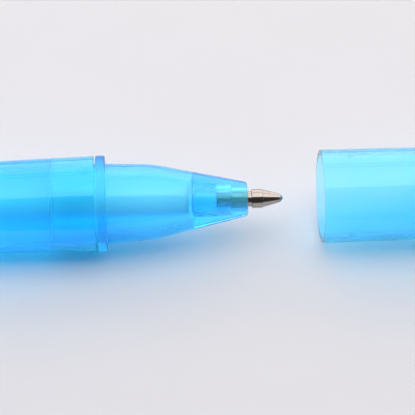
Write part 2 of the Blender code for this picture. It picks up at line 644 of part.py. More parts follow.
def make_clip(cap):
    """The pocket clip: an arm that narrows toward its bead, joined to the ring under the end cover."""
    shape = prism_shape(clip_outline(), -CLIP_WIDTH / 2, CLIP_WIDTH / 2, "Y")
    for vertex in shape.verts:
        share = (ring_rear - vertex.co.x) / CLIP_LENGTH
        vertex.co.y *= 1 + (CLIP_TIP_WIDTH / CLIP_WIDTH - 1) * share
    clip = add_piece("pocket_clip", shape, cap, CAP_CLEAR)
    rounding = clip.modifiers.new("edges", "BEVEL")
    rounding.width = CLIP_ROUND
    rounding.segments = CLIP_ROUND_STEPS
    rounding.limit_method = "ANGLE"
    rounding.angle_limit = CLIP_ROUND_ANGLE

    ring = turned(
        "clip_ring",
        rectangle(ring_front, ring_rear, lamp_bore, cap_end_radius),
        SHELL_SIDES,
        cap,
        CAP_CLEAR,
    )
    combine(clip, "UNION", ring)


def main():
    """Clears the scene and builds the pen and its cap."""
    for old in list(bpy.data.objects):
        bpy.data.objects.remove(old)
    side = (back_edge - button_top) / 2
    pen = add_empty("pen_axis", (-middle, -side, axis_height))
    make_barrel(pen)
    make_nose_section(pen)
    make_refill(pen)
    make_point(pen)
    cap = add_empty("cap_axis", (mouth_place - middle, -side, axis_height), clip_roll)
    make_cap_shell(cap)
    make_cradle(cap)
    make_cells(cap)
    make_lamp(cap)
    make_switch(cap)
    make_end_cover(cap)
    make_clip(cap)


main()
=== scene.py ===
"""Looks of an invisible ink pen that lies on a pale table with its cap taken off.

Sizes are in millimetres, as in the part's own source, and every piece is put into the frame in metres.
Pen pieces are measured along the pen from the collar's front face, and cap pieces from the cap's mouth.
In the cap's own frame the switch faces +Z and the clip faces -Z. A corner of an outline holds its place
along the axis, its radius and how far its round reaches. A corner with no third value takes the outline's
common round, and is sharp where there is none.
"""

import logging
from collections.abc import Iterable, Sequence
from dataclasses import dataclass
from enum import Enum
from math import acos, asin, atan2, cos, hypot, inf, pi, radians, sin, sqrt, tan, tau

import bmesh
import bpy
from mathutils import Matrix, Vector


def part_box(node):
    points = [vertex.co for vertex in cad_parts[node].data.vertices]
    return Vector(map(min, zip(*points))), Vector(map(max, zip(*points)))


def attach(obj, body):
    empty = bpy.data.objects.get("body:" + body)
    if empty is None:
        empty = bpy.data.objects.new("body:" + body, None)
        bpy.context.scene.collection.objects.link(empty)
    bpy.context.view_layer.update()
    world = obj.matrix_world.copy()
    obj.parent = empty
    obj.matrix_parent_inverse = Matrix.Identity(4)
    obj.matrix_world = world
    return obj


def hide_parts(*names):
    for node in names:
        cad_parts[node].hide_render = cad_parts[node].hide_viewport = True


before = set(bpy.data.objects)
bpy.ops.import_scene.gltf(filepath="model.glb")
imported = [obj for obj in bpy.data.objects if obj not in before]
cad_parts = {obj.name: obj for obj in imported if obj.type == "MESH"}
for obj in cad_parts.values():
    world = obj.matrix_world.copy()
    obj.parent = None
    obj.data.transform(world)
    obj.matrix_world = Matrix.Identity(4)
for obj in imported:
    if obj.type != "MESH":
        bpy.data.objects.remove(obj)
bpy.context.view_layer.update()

LOG = logging.getLogger("ink_pen")
MM = 0.001
WELD = 1e-5
SHARP_ANGLE = radians(34)
SHELL_SIDES = 160
SMALL_SIDES = 72
WIRE_SIDES = 14
ROUND_STEPS = 5
MOST_OF_SIDE = 0.49
INSIDE = "inside"
JOINT = "joint"

Mesh = bpy.types.Mesh
Node = bpy.types.Node
Material = bpy.types.Material
Point = tuple[float, float]
Place = tuple[float, float, float]
Corner = Point | Place
Colour = tuple[float, float, float]
Span = tuple[float, float]


class Body(Enum):
    """The moving bodies that pieces ride on."""

    PEN = "pen"
    BALL = "ball"
    CAP = "cap"
    BUTTON = "button"
    LEAF = "leaf"


class Slot(Enum):
    """The record's material slots."""

    BLUE = "blue_plastic"
    CAP = "cap_plastic"
    MILKY = "milky_plastic"
    CLEAR = "clear_plastic"
    WHITE = "white_plastic"
    NICKEL = "nickel_silver"
    STEEL = "bright_steel"
    WIRE = "wire"
    BRONZE = "bronze"
    LAMP = "lamp_resin"


class Section(Enum):
    """The cross-section of a wire."""

    ROUND = 0
    SQUARE = 1


class Along(Enum):
    """The axis that an outline is carried along, with the order that its coordinates then take."""

    X = (2, 0, 1)
    Y = (0, 2, 1)
    Z = (0, 1, 2)


class Joining(Enum):
    """The two ways of combining solids."""

    CUT = "DIFFERENCE"
    ADD = "UNION"


class Nodes:
    """Adds nodes to one tree and joins them."""

    def __init__(self, tree: bpy.types.NodeTree) -> None:
        """Keeps the tree that the nodes go into."""
        self.tree = tree

    @staticmethod
    def socket(sockets: Iterable[bpy.types.NodeSocket], name: str | None) -> bpy.types.NodeSocket:
        """Returns the first socket in use that has the name, or any name where none is given."""
        return next(s for s in sockets if s.enabled and name in (s.name, None))

    def feed(self, socket: bpy.types.NodeSocket, value: object) -> None:
        """Gives an input what it needs.

        Args:
            socket: the input.
            value: a plain value, a node whose first output is joined, or a (node, output name) pair.
        """
        if isinstance(value, Node):
            value = (value, None)
        if isinstance(value, tuple) and isinstance(value[0], Node):
            self.tree.links.new(self.socket(value[0].outputs, value[1]), socket)
        else:
            socket.default_value = value

    def add(self, kind: str, values: dict[str, object] | None = None, **settings: object) -> Node:
        """Adds a node.

        Args:
            kind: Blender's name for the node.
            values: what each input gets, by name, as feed takes it.
            settings: the node's own properties.

        Returns:
            The new node.
        """
        node = self.tree.nodes.new(kind)
        for name, value in settings.items():
            setattr(node, name, value)
        for name, value in (values or {}).items():
            self.feed(self.socket(node.inputs, name), value)
        return node

    def maths(self, operation: str, *values: object) -> Node:
        """Adds a Math node.

        Args:
            operation: Blender's name for the sum.
            values: what its inputs get, in order, as feed takes it.

        Returns:
            The Math node.
        """
        node = self.add("ShaderNodeMath", operation=operation)
        for socket, value in zip(node.inputs, values):
            self.feed(socket, value)
        return node


class Growth:
    """A Geometry Nodes tree with named inputs that turns a plain mesh into a finished one."""

    def __init__(self, name: str, inputs: dict[str, str]) -> None:
        """Starts a tree.

        Args:
            name: the tree's name.
            inputs: what kind of socket each further input is, by its name.
        """
        self.tree = bpy.data.node_groups.new(name, "GeometryNodeTree")
        self.nodes = Nodes(self.tree)
        self.identifiers: dict[str, str] = {}
        sockets = self.tree.interface
        sockets.new_socket("Geometry", in_out="OUTPUT", socket_type="NodeSocketGeometry")
        for label, kind in {"Geometry": "Geometry", **inputs, "Finish": "Material"}.items():
            socket = sockets.new_socket(label, in_out="INPUT", socket_type=f"NodeSocket{kind}")
            self.identifiers[label] = socket.identifier
        self.start = self.nodes.add("NodeGroupInput")

    def close(self, node: Node) -> None:
        """Ends the tree in Realize Instances and Set Material.

        Args:
            node: the node whose first output is the geometry.
        """
        realise = self.nodes.add("GeometryNodeRealizeInstances", {"Geometry": node})
        values = {"Geometry": realise, "Material": (self.start, "Finish")}
        self.nodes.add("NodeGroupOutput", {"Geometry": self.nodes.add("GeometryNodeSetMaterial", values)})

    def run(self, source: Mesh, finish: Material, **values: object) -> Mesh:
        """Grows a mesh.

        Args:
            source: the mesh that goes in.
            finish: the material that goes on.
            values: the other inputs, by name.

        Returns:
            A plain mesh.
        """
        named = {"Finish": finish, **values}
        inputs = {self.identifiers[name]: value for name, value in named.items()}
        return modified(source, "NODES", inputs, node_group=self.tree)


class LatheTree(Growth):
    """Turns a profile of (x, 0, radius) points about the X axis."""

    def __init__(self) -> None:
        """Builds the tree: a grid whose rows take their places from the profile's points."""
        super().__init__("turned_piece", {"Sides": "Int"})
        add, maths, start = self.nodes.add, self.nodes.maths, self.start
        count = add("GeometryNodeAttributeDomainSize", {"Geometry": start}, component="MESH")
        columns = maths("ADD", (start, "Sides"), 1.0)
        grid = add("GeometryNodeMeshGrid", {"Vertices X": count, "Vertices Y": columns})
        index = add("GeometryNodeInputIndex")
        row = maths("FLOOR", maths("DIVIDE", index, columns))
        column = maths("MODULO", index, columns)
        turn = maths("MULTIPLY", maths("DIVIDE", column, (start, "Sides")), tau)
        looked_up = {"Geometry": start, "Value": add("GeometryNodeInputPosition"), "Index": row}
        sample = add("GeometryNodeSampleIndex", looked_up, data_type="FLOAT_VECTOR", domain="POINT")
        parts = add("ShaderNodeSeparateXYZ", {"Vector": sample})
        across = maths("MULTIPLY", (parts, "Z"), maths("SINE", turn))
        above = maths("MULTIPLY", (parts, "Z"), maths("COSINE", turn))
        spot = add("ShaderNodeCombineXYZ", {"X": (parts, "X"), "Y": across, "Z": above})
        move = add("GeometryNodeSetPosition", {"Geometry": grid, "Position": spot})
        self.close(add("GeometryNodeMergeByDistance", {"Geometry": move, "Distance": WELD}))


class WireTree(Growth):
    """Sweeps a round or square section along a line of points."""

    def __init__(self) -> None:
        """Builds the tree: the line becomes a curve, and the section follows it."""
        super().__init__("wire", {"Thickness": "Float", "Sides": "Int", "Square": "Bool"})
        add, start = self.nodes.add, self.start
        thickness = (start, "Thickness")
        line = add("GeometryNodeMeshToCurve", {"Mesh": start})
        radius = self.nodes.maths("DIVIDE", thickness, 2.0)
        circle = add("GeometryNodeCurvePrimitiveCircle", {"Resolution": (start, "Sides"), "Radius": radius})
        square = add("GeometryNodeCurvePrimitiveQuadrilateral", {"Width": thickness, "Height": thickness})
        choice = {"Switch": (start, "Square"), "False": circle, "True": square}
        choose = add("GeometryNodeSwitch", choice, input_type="GEOMETRY")
        swept = {"Curve": line, "Profile Curve": choose, "Fill Caps": True}
        self.close(add("GeometryNodeCurveToMesh", swept))


class RibTree(Growth):
    """Sets copies of one rib in a row."""

    def __init__(self) -> None:
        """Builds the tree: a line of points with a rib on each."""
        super().__init__("grip_ribs", {"Count": "Int", "Start": "Vector", "Pitch": "Vector"})
        start = self.start
        places = {"Count": (start, "Count"), "Start Location": (start, "Start"), "Offset": (start, "Pitch")}
        row = self.nodes.add("GeometryNodeMeshLine", places, mode="OFFSET")
        self.close(self.nodes.add("GeometryNodeInstanceOnPoints", {"Points": row, "Instance": start}))


class Trees:
    """The Geometry Nodes trees that all pieces share."""

    def __init__(self) -> None:
        """Builds each tree once."""
        self.lathe = LatheTree()
        self.wire = WireTree()
        self.ribs = RibTree()


def linked(name: str, data: bpy.types.ID) -> bpy.types.Object:
    """Makes an object and links it into the scene.

    Args:
        name: the name of the object and of its data.
        data: its mesh, light or camera.

    Returns:
        The object.
    """
    data.name = name
    item = bpy.data.objects.new(name, data)
    bpy.context.scene.collection.objects.link(item)
    return item


def modified(mesh: Mesh, kind: str, inputs: dict[str, object] | None = None, **settings: object) -> Mesh:
    """Runs one modifier on a mesh.

    Args:
        mesh: the mesh that goes in.
        kind: Blender's name for the modifier.
        inputs: values for a tree's inputs, by identifier.
        settings: the modifier's own properties.

    Returns:
        What the modifier makes, as a plain mesh.
    """
    carrier = linked("carrier", mesh)
    modifier = carrier.modifiers.new("change", kind)
    for name, value in settings.items():
        setattr(modifier, name, value)
    for identifier, value in (inputs or {}).items():
        modifier[identifier] = value
    graph = bpy.context.evaluated_depsgraph_get()
    made = bpy.data.meshes.new_from_object(carrier.evaluated_get(graph), depsgraph=graph)
    bpy.data.objects.remove(carrier)
    return made


def combined(mesh: Mesh, joining: Joining, other: Mesh) -> Mesh:
    """Cuts a solid out of another one, or adds it on.

    Args:
        mesh: the solid that stays.
        joining: whether the other one is cut out or added.
        other: the other solid.

    Returns:
        The result.
    """
    operand = linked("operand", other)
    made = modified(mesh, "BOOLEAN", operation=joining.value, solver="EXACT", object=operand)
    bpy.data.objects.remove(operand)
    return made


def bevelled(mesh: Mesh, width: float, segments: int, angle: float) -> Mesh:
    """Returns a mesh with the edges that are sharper than an angle rounded."""
    limits = {"limit_method": "ANGLE", "angle_limit": angle}
    return modified(mesh, "BEVEL", width=width, segments=segments, **limits)


def shaded(mesh: Mesh) -> Mesh:
    """Shades a mesh smooth where it is round.

    Args:
        mesh: the mesh.

    Returns:
        The same mesh.
    """
    mesh.shade_smooth()
    mesh.set_sharp_from_angle(angle=SHARP_ANGLE)
    return mesh


def smooth(mesh: Mesh) -> Mesh:
    """Welds a mesh, turns its faces outwards and shades it smooth where it is round.

    Args:
        mesh: the mesh.

    Returns:
        The same mesh.
    """
    shape = bmesh.new()
    shape.from_mesh(mesh)
    bmesh.ops.remove_doubles(shape, verts=shape.verts, dist=WELD)
    bmesh.ops.dissolve_degenerate(shape, edges=shape.edges, dist=WELD)
    bmesh.ops.recalc_face_normals(shape, faces=shape.faces)
    shape.to_mesh(mesh)
    shape.free()
    return shaded(mesh)


def new_mesh(
    points: Sequence[Place],
    faces: Sequence[tuple[int, ...]],
    edges: Sequence[tuple[int, int]] = (),
    finish: Material | None = None,
) -> Mesh:
    """Makes a mesh.

    Args:
        points: where its vertices are.
        faces: the vertices of each face.
        edges: the vertices of each loose edge.
        finish: its material.

    Returns:
        The mesh.
    """
    mesh = bpy.data.meshes.new("mesh")
    mesh.from_pydata(points, edges, faces)
    if finish:
        mesh.materials.append(finish)
    return mesh


def line_mesh(points: Sequence[Place]) -> Mesh:
    """Returns a mesh of points joined in a line."""
    return new_mesh(points, [], [(i, i + 1) for i in range(len(points) - 1)])


def merged(meshes: Sequence[Mesh]) -> Mesh:
    """Joins meshes that lie beside each other.

    Args:
        meshes: the meshes, each of one material.

    Returns:
        One mesh, each face with its own material.
    """
    shape = bmesh.new()
    materials: list[Material] = []
    for mesh in meshes:
        first = len(shape.faces)
        shape.from_mesh(mesh)
        shape.faces.ensure_lookup_table()
        material = mesh.materials[0]
        if material not in materials:
            materials.append(material)
        for face in shape.faces[first:]:
            face.material_index = materials.index(material)
    made = bpy.data.meshes.new("merged")
    shape.to_mesh(made)
    shape.free()
    for material in materials:
        made.materials.append(material)
    return shaded(made)


def arc(centre: Point, radius: float, start: float, end: float, steps: int) -> list[Point]:
    """Returns points on an arc, with angles from the first axis toward the second."""
    angles = [start + (end - start) * step / steps for step in range(steps + 1)]
    return [(centre[0] + radius * cos(a), centre[1] + radius * sin(a)) for a in angles]


def bend(first: Point, middle: Point, last: Point, steps: int) -> list[Point]:
    """Draws a quadratic curve.

    Args:
        first: where it starts.
        middle: the point that it is drawn toward.
        last: where it ends.
        steps: how many steps it has.

    Returns:
        Points on the curve.
    """
    axes = list(zip(first, middle, last))
    shares = [step / steps for step in range(steps + 1)]
    weights = [((1 - t) ** 2, 2 * t * (1 - t), t * t) for t in shares]
    return [tuple(sum(w * c for w, c in zip(weight, axis)) for axis in axes) for weight in weights]


def stadium(centre: float, length: float, width: float, steps: int) -> list[Point]:
    """Draws a slot with round ends.

    Args:
        centre: its middle along the first axis.
        length: its whole length.
        width: its width.
        steps: how many steps each end has.

    Returns:
        The slot's outline.
    """
    half = width / 2
    reach = length / 2 - half
    front = arc((centre + reach, 0.0), half, -pi / 2, pi / 2, steps)
    return front + arc((centre - reach, 0.0), half, pi / 2, 3 * pi / 2, steps)


def rectangle(low_u: float, high_u: float, low_v: float, high_v: float) -> list[Point]:
    """Returns the four corners of a rectangle."""
    return [(low_u, low_v), (high_u, low_v), (high_u, high_v), (low_u, high_v)]


def rounded(corners: Sequence[Corner], closed: bool, reach: float = 0.0) -> list[Point]:
    """Rounds the corners of an outline.

    Args:
        corners: the corners, in order.
        closed: True if the last corner joins the first.
        reach: how far the rounds of corners with no third value reach.

    Returns:
        The outline's points. A closed outline ends on its first point.
    """
    points: list[Point] = []
    spots = [Vector(corner[:2]) for corner in corners]
    for i, (corner, spot) in enumerate(zip(corners, spots)):
        size = corner[2] if len(corner) > 2 else reach
        inside = closed or 0 < i < len(corners) - 1
        if size <= 0.0 or not inside:
            points.append(corner[:2])
            continue
        sides = (spots[i - 1] - spot, spots[(i + 1) % len(spots)] - spot)
        ends = [spot + side.normalized() * min(size, side.length * MOST_OF_SIDE) for side in sides]
        points += bend(tuple(ends[0]), tuple(spot), tuple(ends[1]), ROUND_STEPS)
    return points + points[:1] if closed else points


def prism(
    outline: list[Point], low: float, high: float, along: Along, finish: Material | None = None
) -> Mesh:
    """Carries an outline straight along an axis.

    Args:
        outline: the outline, on the other two axes in order.
        low: where it starts.
        high: where it ends.
        along: the axis.
        finish: the material.

    Returns:
        The closed prism.
    """
    spots = [(u, v, w) for w in (low, high) for u, v in outline]
    points = [tuple(spot[i] for i in along.value) for spot in spots]
    return smooth(new_mesh(points, loft_faces(len(outline), 2), finish=finish))


def loft_faces(count: int, rings: int) -> list[tuple[int, ...]]:
    """Closes rings of points into a solid.

    Args:
        count: how many points each ring has.
        rings: how many rings there are.

    Returns:
        The two end faces and the faces between each ring and the next.
    """
    last = count * (rings - 1)
    faces = [tuple(range(count)), tuple(range(last, last + count))]
    for low in range(0, last, count):
        pairs = [(low + i, low + (i + 1) % count) for i in range(count)]
        faces += [(a, b, b + count, a + count) for a, b in pairs]
    return faces


@dataclass(frozen=True)
class Zone:
    """How matt a moulding is up to a place along it, and how far it takes the tint of a joint there."""

    end: float
    inside: float
    outside: float = 0.0
    joint: float = 0.0


def lined(mesh: Mesh, *zones: Zone) -> Mesh:
    """Marks which faces of a moulding about the X axis are matt and which sit in a joint.

    Args:
        mesh: the moulding.
        zones: its zones from the rear to the front.

    Returns:
        The same mesh.
    """
    matt = mesh.attributes.new(INSIDE, "FLOAT", "FACE")
    hidden = mesh.attributes.new(JOINT, "FLOAT", "FACE")
    for face in mesh.polygons:
        inward = face.normal.y * face.center.y + face.normal.z * face.center.z < 0.0
        zone = next(z for z in zones if face.center.x < z.end)
        share = zone.inside if inward else zone.outside
        matt.data[face.index].value = share
        hidden.data[face.index].value = zone.joint if share > 0.0 else 0.0
    return mesh


class Shading(Nodes):
    """A material with one Principled shader and helpers for its patterns."""

    pattern_span: Span = (0.3, 0.7)
    pattern_roughness: float = 0.55

    def __init__(self, name: str) -> None:
        """Starts the material.

        Args:
            name: the material's name.
        """
        self.material = bpy.data.materials.new(name)
        self.material.use_nodes = True
        super().__init__(self.material.node_tree)
        self.shader = self.tree.nodes["Principled BSDF"]
        self.output = self.tree.nodes["Material Output"]
        self.coordinates = self.add("ShaderNodeTexCoord")

    def set(self, **values: object) -> None:
        """Feeds the shader's own sockets, by name with _ for a space."""
        for name, value in values.items():
            self.feed(self.socket(self.shader.inputs, name.replace("_", " ")), value)

    def noise(self, scale: Place, detail: float) -> Node:
        """Adds a noise pattern on the object's own coordinates.

        Args:
            scale: each axis's scale, per metre.
            detail: the pattern's detail.

        Returns:
            The Noise node.
        """
        mapping = self.add("ShaderNodeMapping", {"Vector": (self.coordinates, "Object"), "Scale": scale})
        values = {"Vector": mapping, "Scale": 1.0, "Detail": detail, "Roughness": self.pattern_roughness}
        return self.add("ShaderNodeTexNoise", values)

    def ramp(self, pattern: Node, low: Colour, high: Colour) -> Node:
        """Adds a ramp between two colours that follows a pattern.

        Args:
            pattern: the pattern's node.
            low: the colour where the pattern is low.
            high: the colour where it is high.

        Returns:
            The ramp's node.
        """
        ramp = self.add("ShaderNodeValToRGB", {"Fac": pattern})
        for element, place, colour in zip(ramp.color_ramp.elements, self.pattern_span, (low, high)):
            element.position = place
            element.color = (*colour, 1.0)
        return ramp

    def colours(self, pattern: Node, low: Colour, high: Colour) -> None:
        """Varies the base colour between two colours from a pattern."""
        self.set(Base_Color=self.ramp(pattern, low, high))

    def polish(self, pattern: Node, shine: Span) -> None:
        """Varies the roughness over a pattern.

        Args:
            pattern: the pattern's node.
            shine: the roughness where the pattern is low and where it is high.
        """
        low, high = self.pattern_span
        values = {"Value": pattern, "From Min": low, "From Max": high, "To Min": shine[0], "To Max": shine[1]}
        self.set(Roughness=self.add("ShaderNodeMapRange", values))

    def bump(self, pattern: Node, strength: float, height: float) -> None:
        """Raises the surface by a pattern, with its full height in metres."""
        values = {"Height": pattern, "Strength": strength, "Distance": height}
        self.set(Normal=self.add("ShaderNodeBump", values))

    def mark(self, name: str) -> tuple[Node, str]:
        """Returns a mesh's own attribute as an input takes it."""
        return self.add("ShaderNodeAttribute", attribute_name=name), "Fac"

    def depth_tint(self, colour: Colour, density: float) -> None:
        """Tints the material by depth: colour is what is kept, density how fast, per metre."""
        values = {"Color": (*colour, 1.0), "Density": density}
        self.feed(self.output.inputs["Volume"], self.add("ShaderNodeVolumeAbsorption", values))


def faded(colour: Colour, share: float) -> Colour:
    """Returns a colour at a share of its strength."""
    return tuple(share * part for part in colour)


@dataclass(frozen=True)
class Finish:
    """What every finish of the pen has: its name, its tint and the span of its roughness."""

    name: str
    tint: Colour
    shine: Span


@dataclass(frozen=True)
class TintedPlastic(Finish):
    """A clear tinted moulding: polished outside, matt inside, colour that deepens with thickness."""

    kept: Colour
    density: float
    matt: float
    clearness: float = 0.99
    in_joint: Colour = (0.7, 1.0, 1.0)
    gloss: Colour = (1.5, 1.5, 1.5)
    index: float = 1.36
    flow_scale: Place = (140.0, 900.0, 900.0)
    flow_detail: float = 3.0
    red_drift: float = 0.9
    green_drift: float = 0.98

    def material(self) -> Material:
        """Builds the finish, which takes the matt and the joint faces from the mesh's own attributes.

        Returns:
            The material.
        """
        shading = Shading(self.name)
        shading.set(Transmission_Weight=self.clearness, IOR=self.index, Specular_Tint=(*self.gloss, 1.0))
        flow = shading.noise(self.flow_scale, self.flow_detail)
        red, green, blue = self.tint
        drift = shading.ramp(flow, (self.red_drift * red, self.green_drift * green, blue), self.tint)
        tints = {"Factor": shading.mark(JOINT), "A": drift, "B": (*self.in_joint, 1.0)}
        shading.set(Base_Color=shading.add("ShaderNodeMix", tints, data_type="RGBA"))
        span = {"Value": flow, "To Min": self.shine[0], "To Max": self.shine[1]}
        matt = shading.maths("MULTIPLY", shading.mark(INSIDE), self.matt)
        shading.set(Roughness=shading.maths("ADD", shading.add("ShaderNodeMapRange", span), matt))
        shading.depth_tint(self.kept, self.density)
        return shading.material


@dataclass(frozen=True)
class LampResin(Finish):
    """Clear cast resin whose tint deepens with thickness."""

    kept: Colour
    density: float
    index: float = 1.54
    flow_scale: Place = (400.0, 400.0, 400.0)
    flow_detail: float = 3.0
    drift: float = 0.97

    def material(self) -> Material:
        """Builds the finish.

        Returns:
            The material.
        """
        shading = Shading(self.name)
        shading.set(Transmission_Weight=1.0, IOR=self.index)
        flow = shading.noise(self.flow_scale, self.flow_detail)
        shading.colours(flow, faded(self.tint, self.drift), self.tint)
        shading.polish(flow, self.shine)
        shading.depth_tint(self.kept, self.density)
        return shading.material


@dataclass(frozen=True)
class MilkyPlastic(Finish):
    """A soft translucent tube or a clear bush or liquid."""

    clearness: float
    index: float = 1.5
    streak_scale: Place = (60.0, 1500.0, 1500.0)
    streak_detail: float = 4.0
    drift: float = 0.93

    def material(self) -> Material:
        """Builds the finish.

        Returns:
            The material.
        """
        shading = Shading(self.name)
        shading.set(Transmission_Weight=self.clearness, IOR=self.index)
        streaks = shading.noise(self.streak_scale, self.streak_detail)
        shading.colours(streaks, faded(self.tint, self.drift), self.tint)
        shading.polish(streaks, self.shine)
        return shading.material


@dataclass(frozen=True)
class SolidPlastic(Finish):
    """An opaque moulding with a fine spark-eroded grain."""

    soft_weight: float = 0.15
    soft_radius: Place = (0.4, 0.35, 0.3)
    soft_scale: float = 0.0006
    grain_scale: Place = (9000.0, 9000.0, 9000.0)
    grain_detail: float = 2.0
    grain_strength: float = 0.25
    grain_height: float = 1e-5
    cloud_scale: Place = (350.0, 350.0, 350.0)
    cloud_detail: float = 3.0
    drift: float = 0.94

    def material(self) -> Material:
        """Builds the finish.

        Returns:
            The material.
        """
        shading = Shading(self.name)
        shading.set(Subsurface_Weight=self.soft_weight, Subsurface_Radius=self.soft_radius)
        shading.set(Subsurface_Scale=self.soft_scale)
        cloud = shading.noise(self.cloud_scale, self.cloud_detail)
        shading.colours(cloud, faded(self.tint, self.drift), self.tint)
        shading.polish(cloud, self.shine)
        grain = shading.noise(self.grain_scale, self.grain_detail)
        shading.bump(grain, self.grain_strength, self.grain_height)
        return shading.material


@dataclass(frozen=True)
class Metal(Finish):
    """A bare metal with tool or rolling marks across one axis and a little tarnish."""

    dulled: Colour
    marks: Place
    depth: float
    mark_strength: float = 0.3
    cloud_scale: Place = (700.0, 700.0, 700.0)
    detail: float = 4.0

    def material(self) -> Material:
        """Builds the finish.

        Returns:
            The material.
        """
        shading = Shading(self.name)
        shading.set(Metallic=1.0)
        marks = shading.noise(self.marks, self.detail)
        shading.colours(shading.noise(self.cloud_scale, self.detail), self.dulled, self.tint)
        shading.polish(marks, self.shine)
        shading.bump(marks, self.mark_strength, self.depth)
        return shading.material


@dataclass(frozen=True)
class Paper:
    """The table's matt pale sheet.

    It is lit by painted blue light: an emission that brightens it with each clear surface that it is seen
    through, standing in for light let through by the tinted plastics, and a painted pool of blue light close
    to the pieces, found by ambient occlusion and seen by the camera alone.
    """

    name: str
    tint: Colour
    # Painted blue light: the emission per clear surface that the sheet is seen through, how many surfaces
    # count at most, and the strength and reach of a painted pool of blue light near the pieces.
    painted_light: float
    most: float
    glow: float
    reach: float
    # The colour of the painted blue light.
    painted_light_colour: Colour = (0.03, 0.43, 1.0)
    matt: float = 0.75
    gloss: float = 0.2
    drift: float = 0.985
    cloud_scale: Place = (60.0, 60.0, 60.0)
    cloud_detail: float = 5.0
    fibre_scale: Place = (2500.0, 2500.0, 2500.0)
    fibre_detail: float = 3.0
    fibre_strength: float = 0.08
    fibre_height: float = 3e-5
    near_samples: int = 8

    def material(self) -> Material:
        """Builds the finish.

        Returns:
            The material.
        """
        shading = Shading(self.name)
        maths = shading.maths
        shading.set(Roughness=self.matt, Specular_IOR_Level=self.gloss, Emission_Color=(*self.painted_light_colour, 1.0))
        cloud = shading.noise(self.cloud_scale, self.cloud_detail)
        shading.colours(cloud, faded(self.tint, self.drift), self.tint)
        fibres = shading.noise(self.fibre_scale, self.fibre_detail)
        shading.bump(fibres, self.fibre_strength, self.fibre_height)
        # Painted light: blue emission that grows with the clear surfaces in front, plus a painted blue pool
        # where ambient occlusion finds the pieces close, for camera rays only.
        path = shading.add("ShaderNodeLightPath")
        painted_light = maths("MULTIPLY", maths("MINIMUM", (path, "Transmission Depth"), self.most), self.painted_light)
        near = shading.add("ShaderNodeAmbientOcclusion", {"Distance": self.reach}, samples=self.near_samples)
        painted_pool_mask = maths("MULTIPLY", maths("SUBTRACT", 1.0, (near, "AO")), (path, "Is Camera Ray"))
        shading.set(Emission_Strength=maths("ADD", painted_light, maths("MULTIPLY", painted_pool_mask, self.glow)))
        return shading.material


class Finishes:
    """Every finish of the pen, built once."""

    def __init__(self) -> None:
        """Builds the materials."""
        polish = (0.0, 0.03)
        kept = (0.0, 1.0, 1.0)
        self.barrel = TintedPlastic(
            "barrel_blue", (0.40, 0.805, 1.0), polish, kept, density=450.0, matt=0.7
        ).material()
        self.nose = TintedPlastic(
            "nose_blue", (0.58, 0.885, 1.0), polish, kept=(0.0, 0.89, 1.0), density=400.0, matt=0.6
        ).material()
        self.cap_blue = TintedPlastic(
            "cap_blue", (0.72, 0.86, 1.0), polish, kept, density=350.0, matt=0.25
        ).material()
        self.milky = MilkyPlastic(
            "milky_tube", (0.97, 0.98, 1.0), (0.35, 0.45), clearness=0.1
        ).material()
        self.clear = MilkyPlastic(
            "clear_bush", (0.9, 0.97, 1.0), (0.15, 0.25), clearness=0.95
        ).material()
        self.ink = MilkyPlastic(
            "clear_ink", (0.97, 0.985, 1.0), (0.0, 0.01), clearness=1.0, index=1.36
        ).material()
        self.white = SolidPlastic("white_moulding", (0.82, 0.83, 0.85), (0.36, 0.5)).material()
        self.nylon = SolidPlastic("grey_gasket", (0.32, 0.36, 0.42), (0.4, 0.55)).material()
        self.die = SolidPlastic("lamp_die", (0.16, 0.12, 0.42), (0.25, 0.35)).material()
        self.resin = LampResin(
            "clear_resin", (0.93, 0.9, 1.0), (0.0, 0.02), kept=(0.72, 0.6, 0.95), density=220.0
        ).material()

        turned = (16000.0, 60.0, 60.0)
        pressed = (6000.0, 120.0, 120.0)
        drawn = (300.0, 6000.0, 6000.0)
        rolled = (250.0, 9000.0, 9000.0)
        even = (1200.0, 1200.0, 1200.0)
        self.nickel = Metal(
            "turned_nickel_silver", (0.48, 0.42, 0.375), (0.05, 0.15),
            dulled=(0.41, 0.35, 0.31), marks=turned, depth=3e-6,
        ).material()
        self.carbide = Metal(
            "polished_carbide", (0.4, 0.41, 0.42), (0.05, 0.1),
            dulled=(0.3, 0.31, 0.32), marks=even, depth=1e-6,
        ).material()
        self.steel = Metal(
            "polished_steel", (0.72, 0.73, 0.75), (0.08, 0.16),
            dulled=(0.6, 0.61, 0.63), marks=even, depth=1e-6,
        ).material()
        self.can = Metal(
            "cell_can", (0.74, 0.74, 0.73), (0.16, 0.34),
            dulled=(0.62, 0.61, 0.59), marks=pressed, depth=2e-6,
        ).material()
        self.tinned = Metal(
            "tinned_wire", (0.76, 0.76, 0.74), (0.2, 0.34),
            dulled=(0.62, 0.62, 0.6), marks=drawn, depth=2e-6,
        ).material()
        self.bronze = Metal(
            "rolled_bronze", (0.83, 0.6, 0.33), (0.16, 0.3),
            dulled=(0.66, 0.44, 0.22), marks=rolled, depth=2e-6,
        ).material()


@dataclass(frozen=True)
class Axis:
    """A frame on the pen's or the cap's axis."""

    place: Vector
    roll: float = 0.0

    def matrix(self) -> Matrix:
        """Returns the transform from millimetres on the axis to metres in the frame."""
        return Matrix.Translation(self.place) @ Matrix.Rotation(self.roll, 4, "X") @ Matrix.Scale(MM, 4)


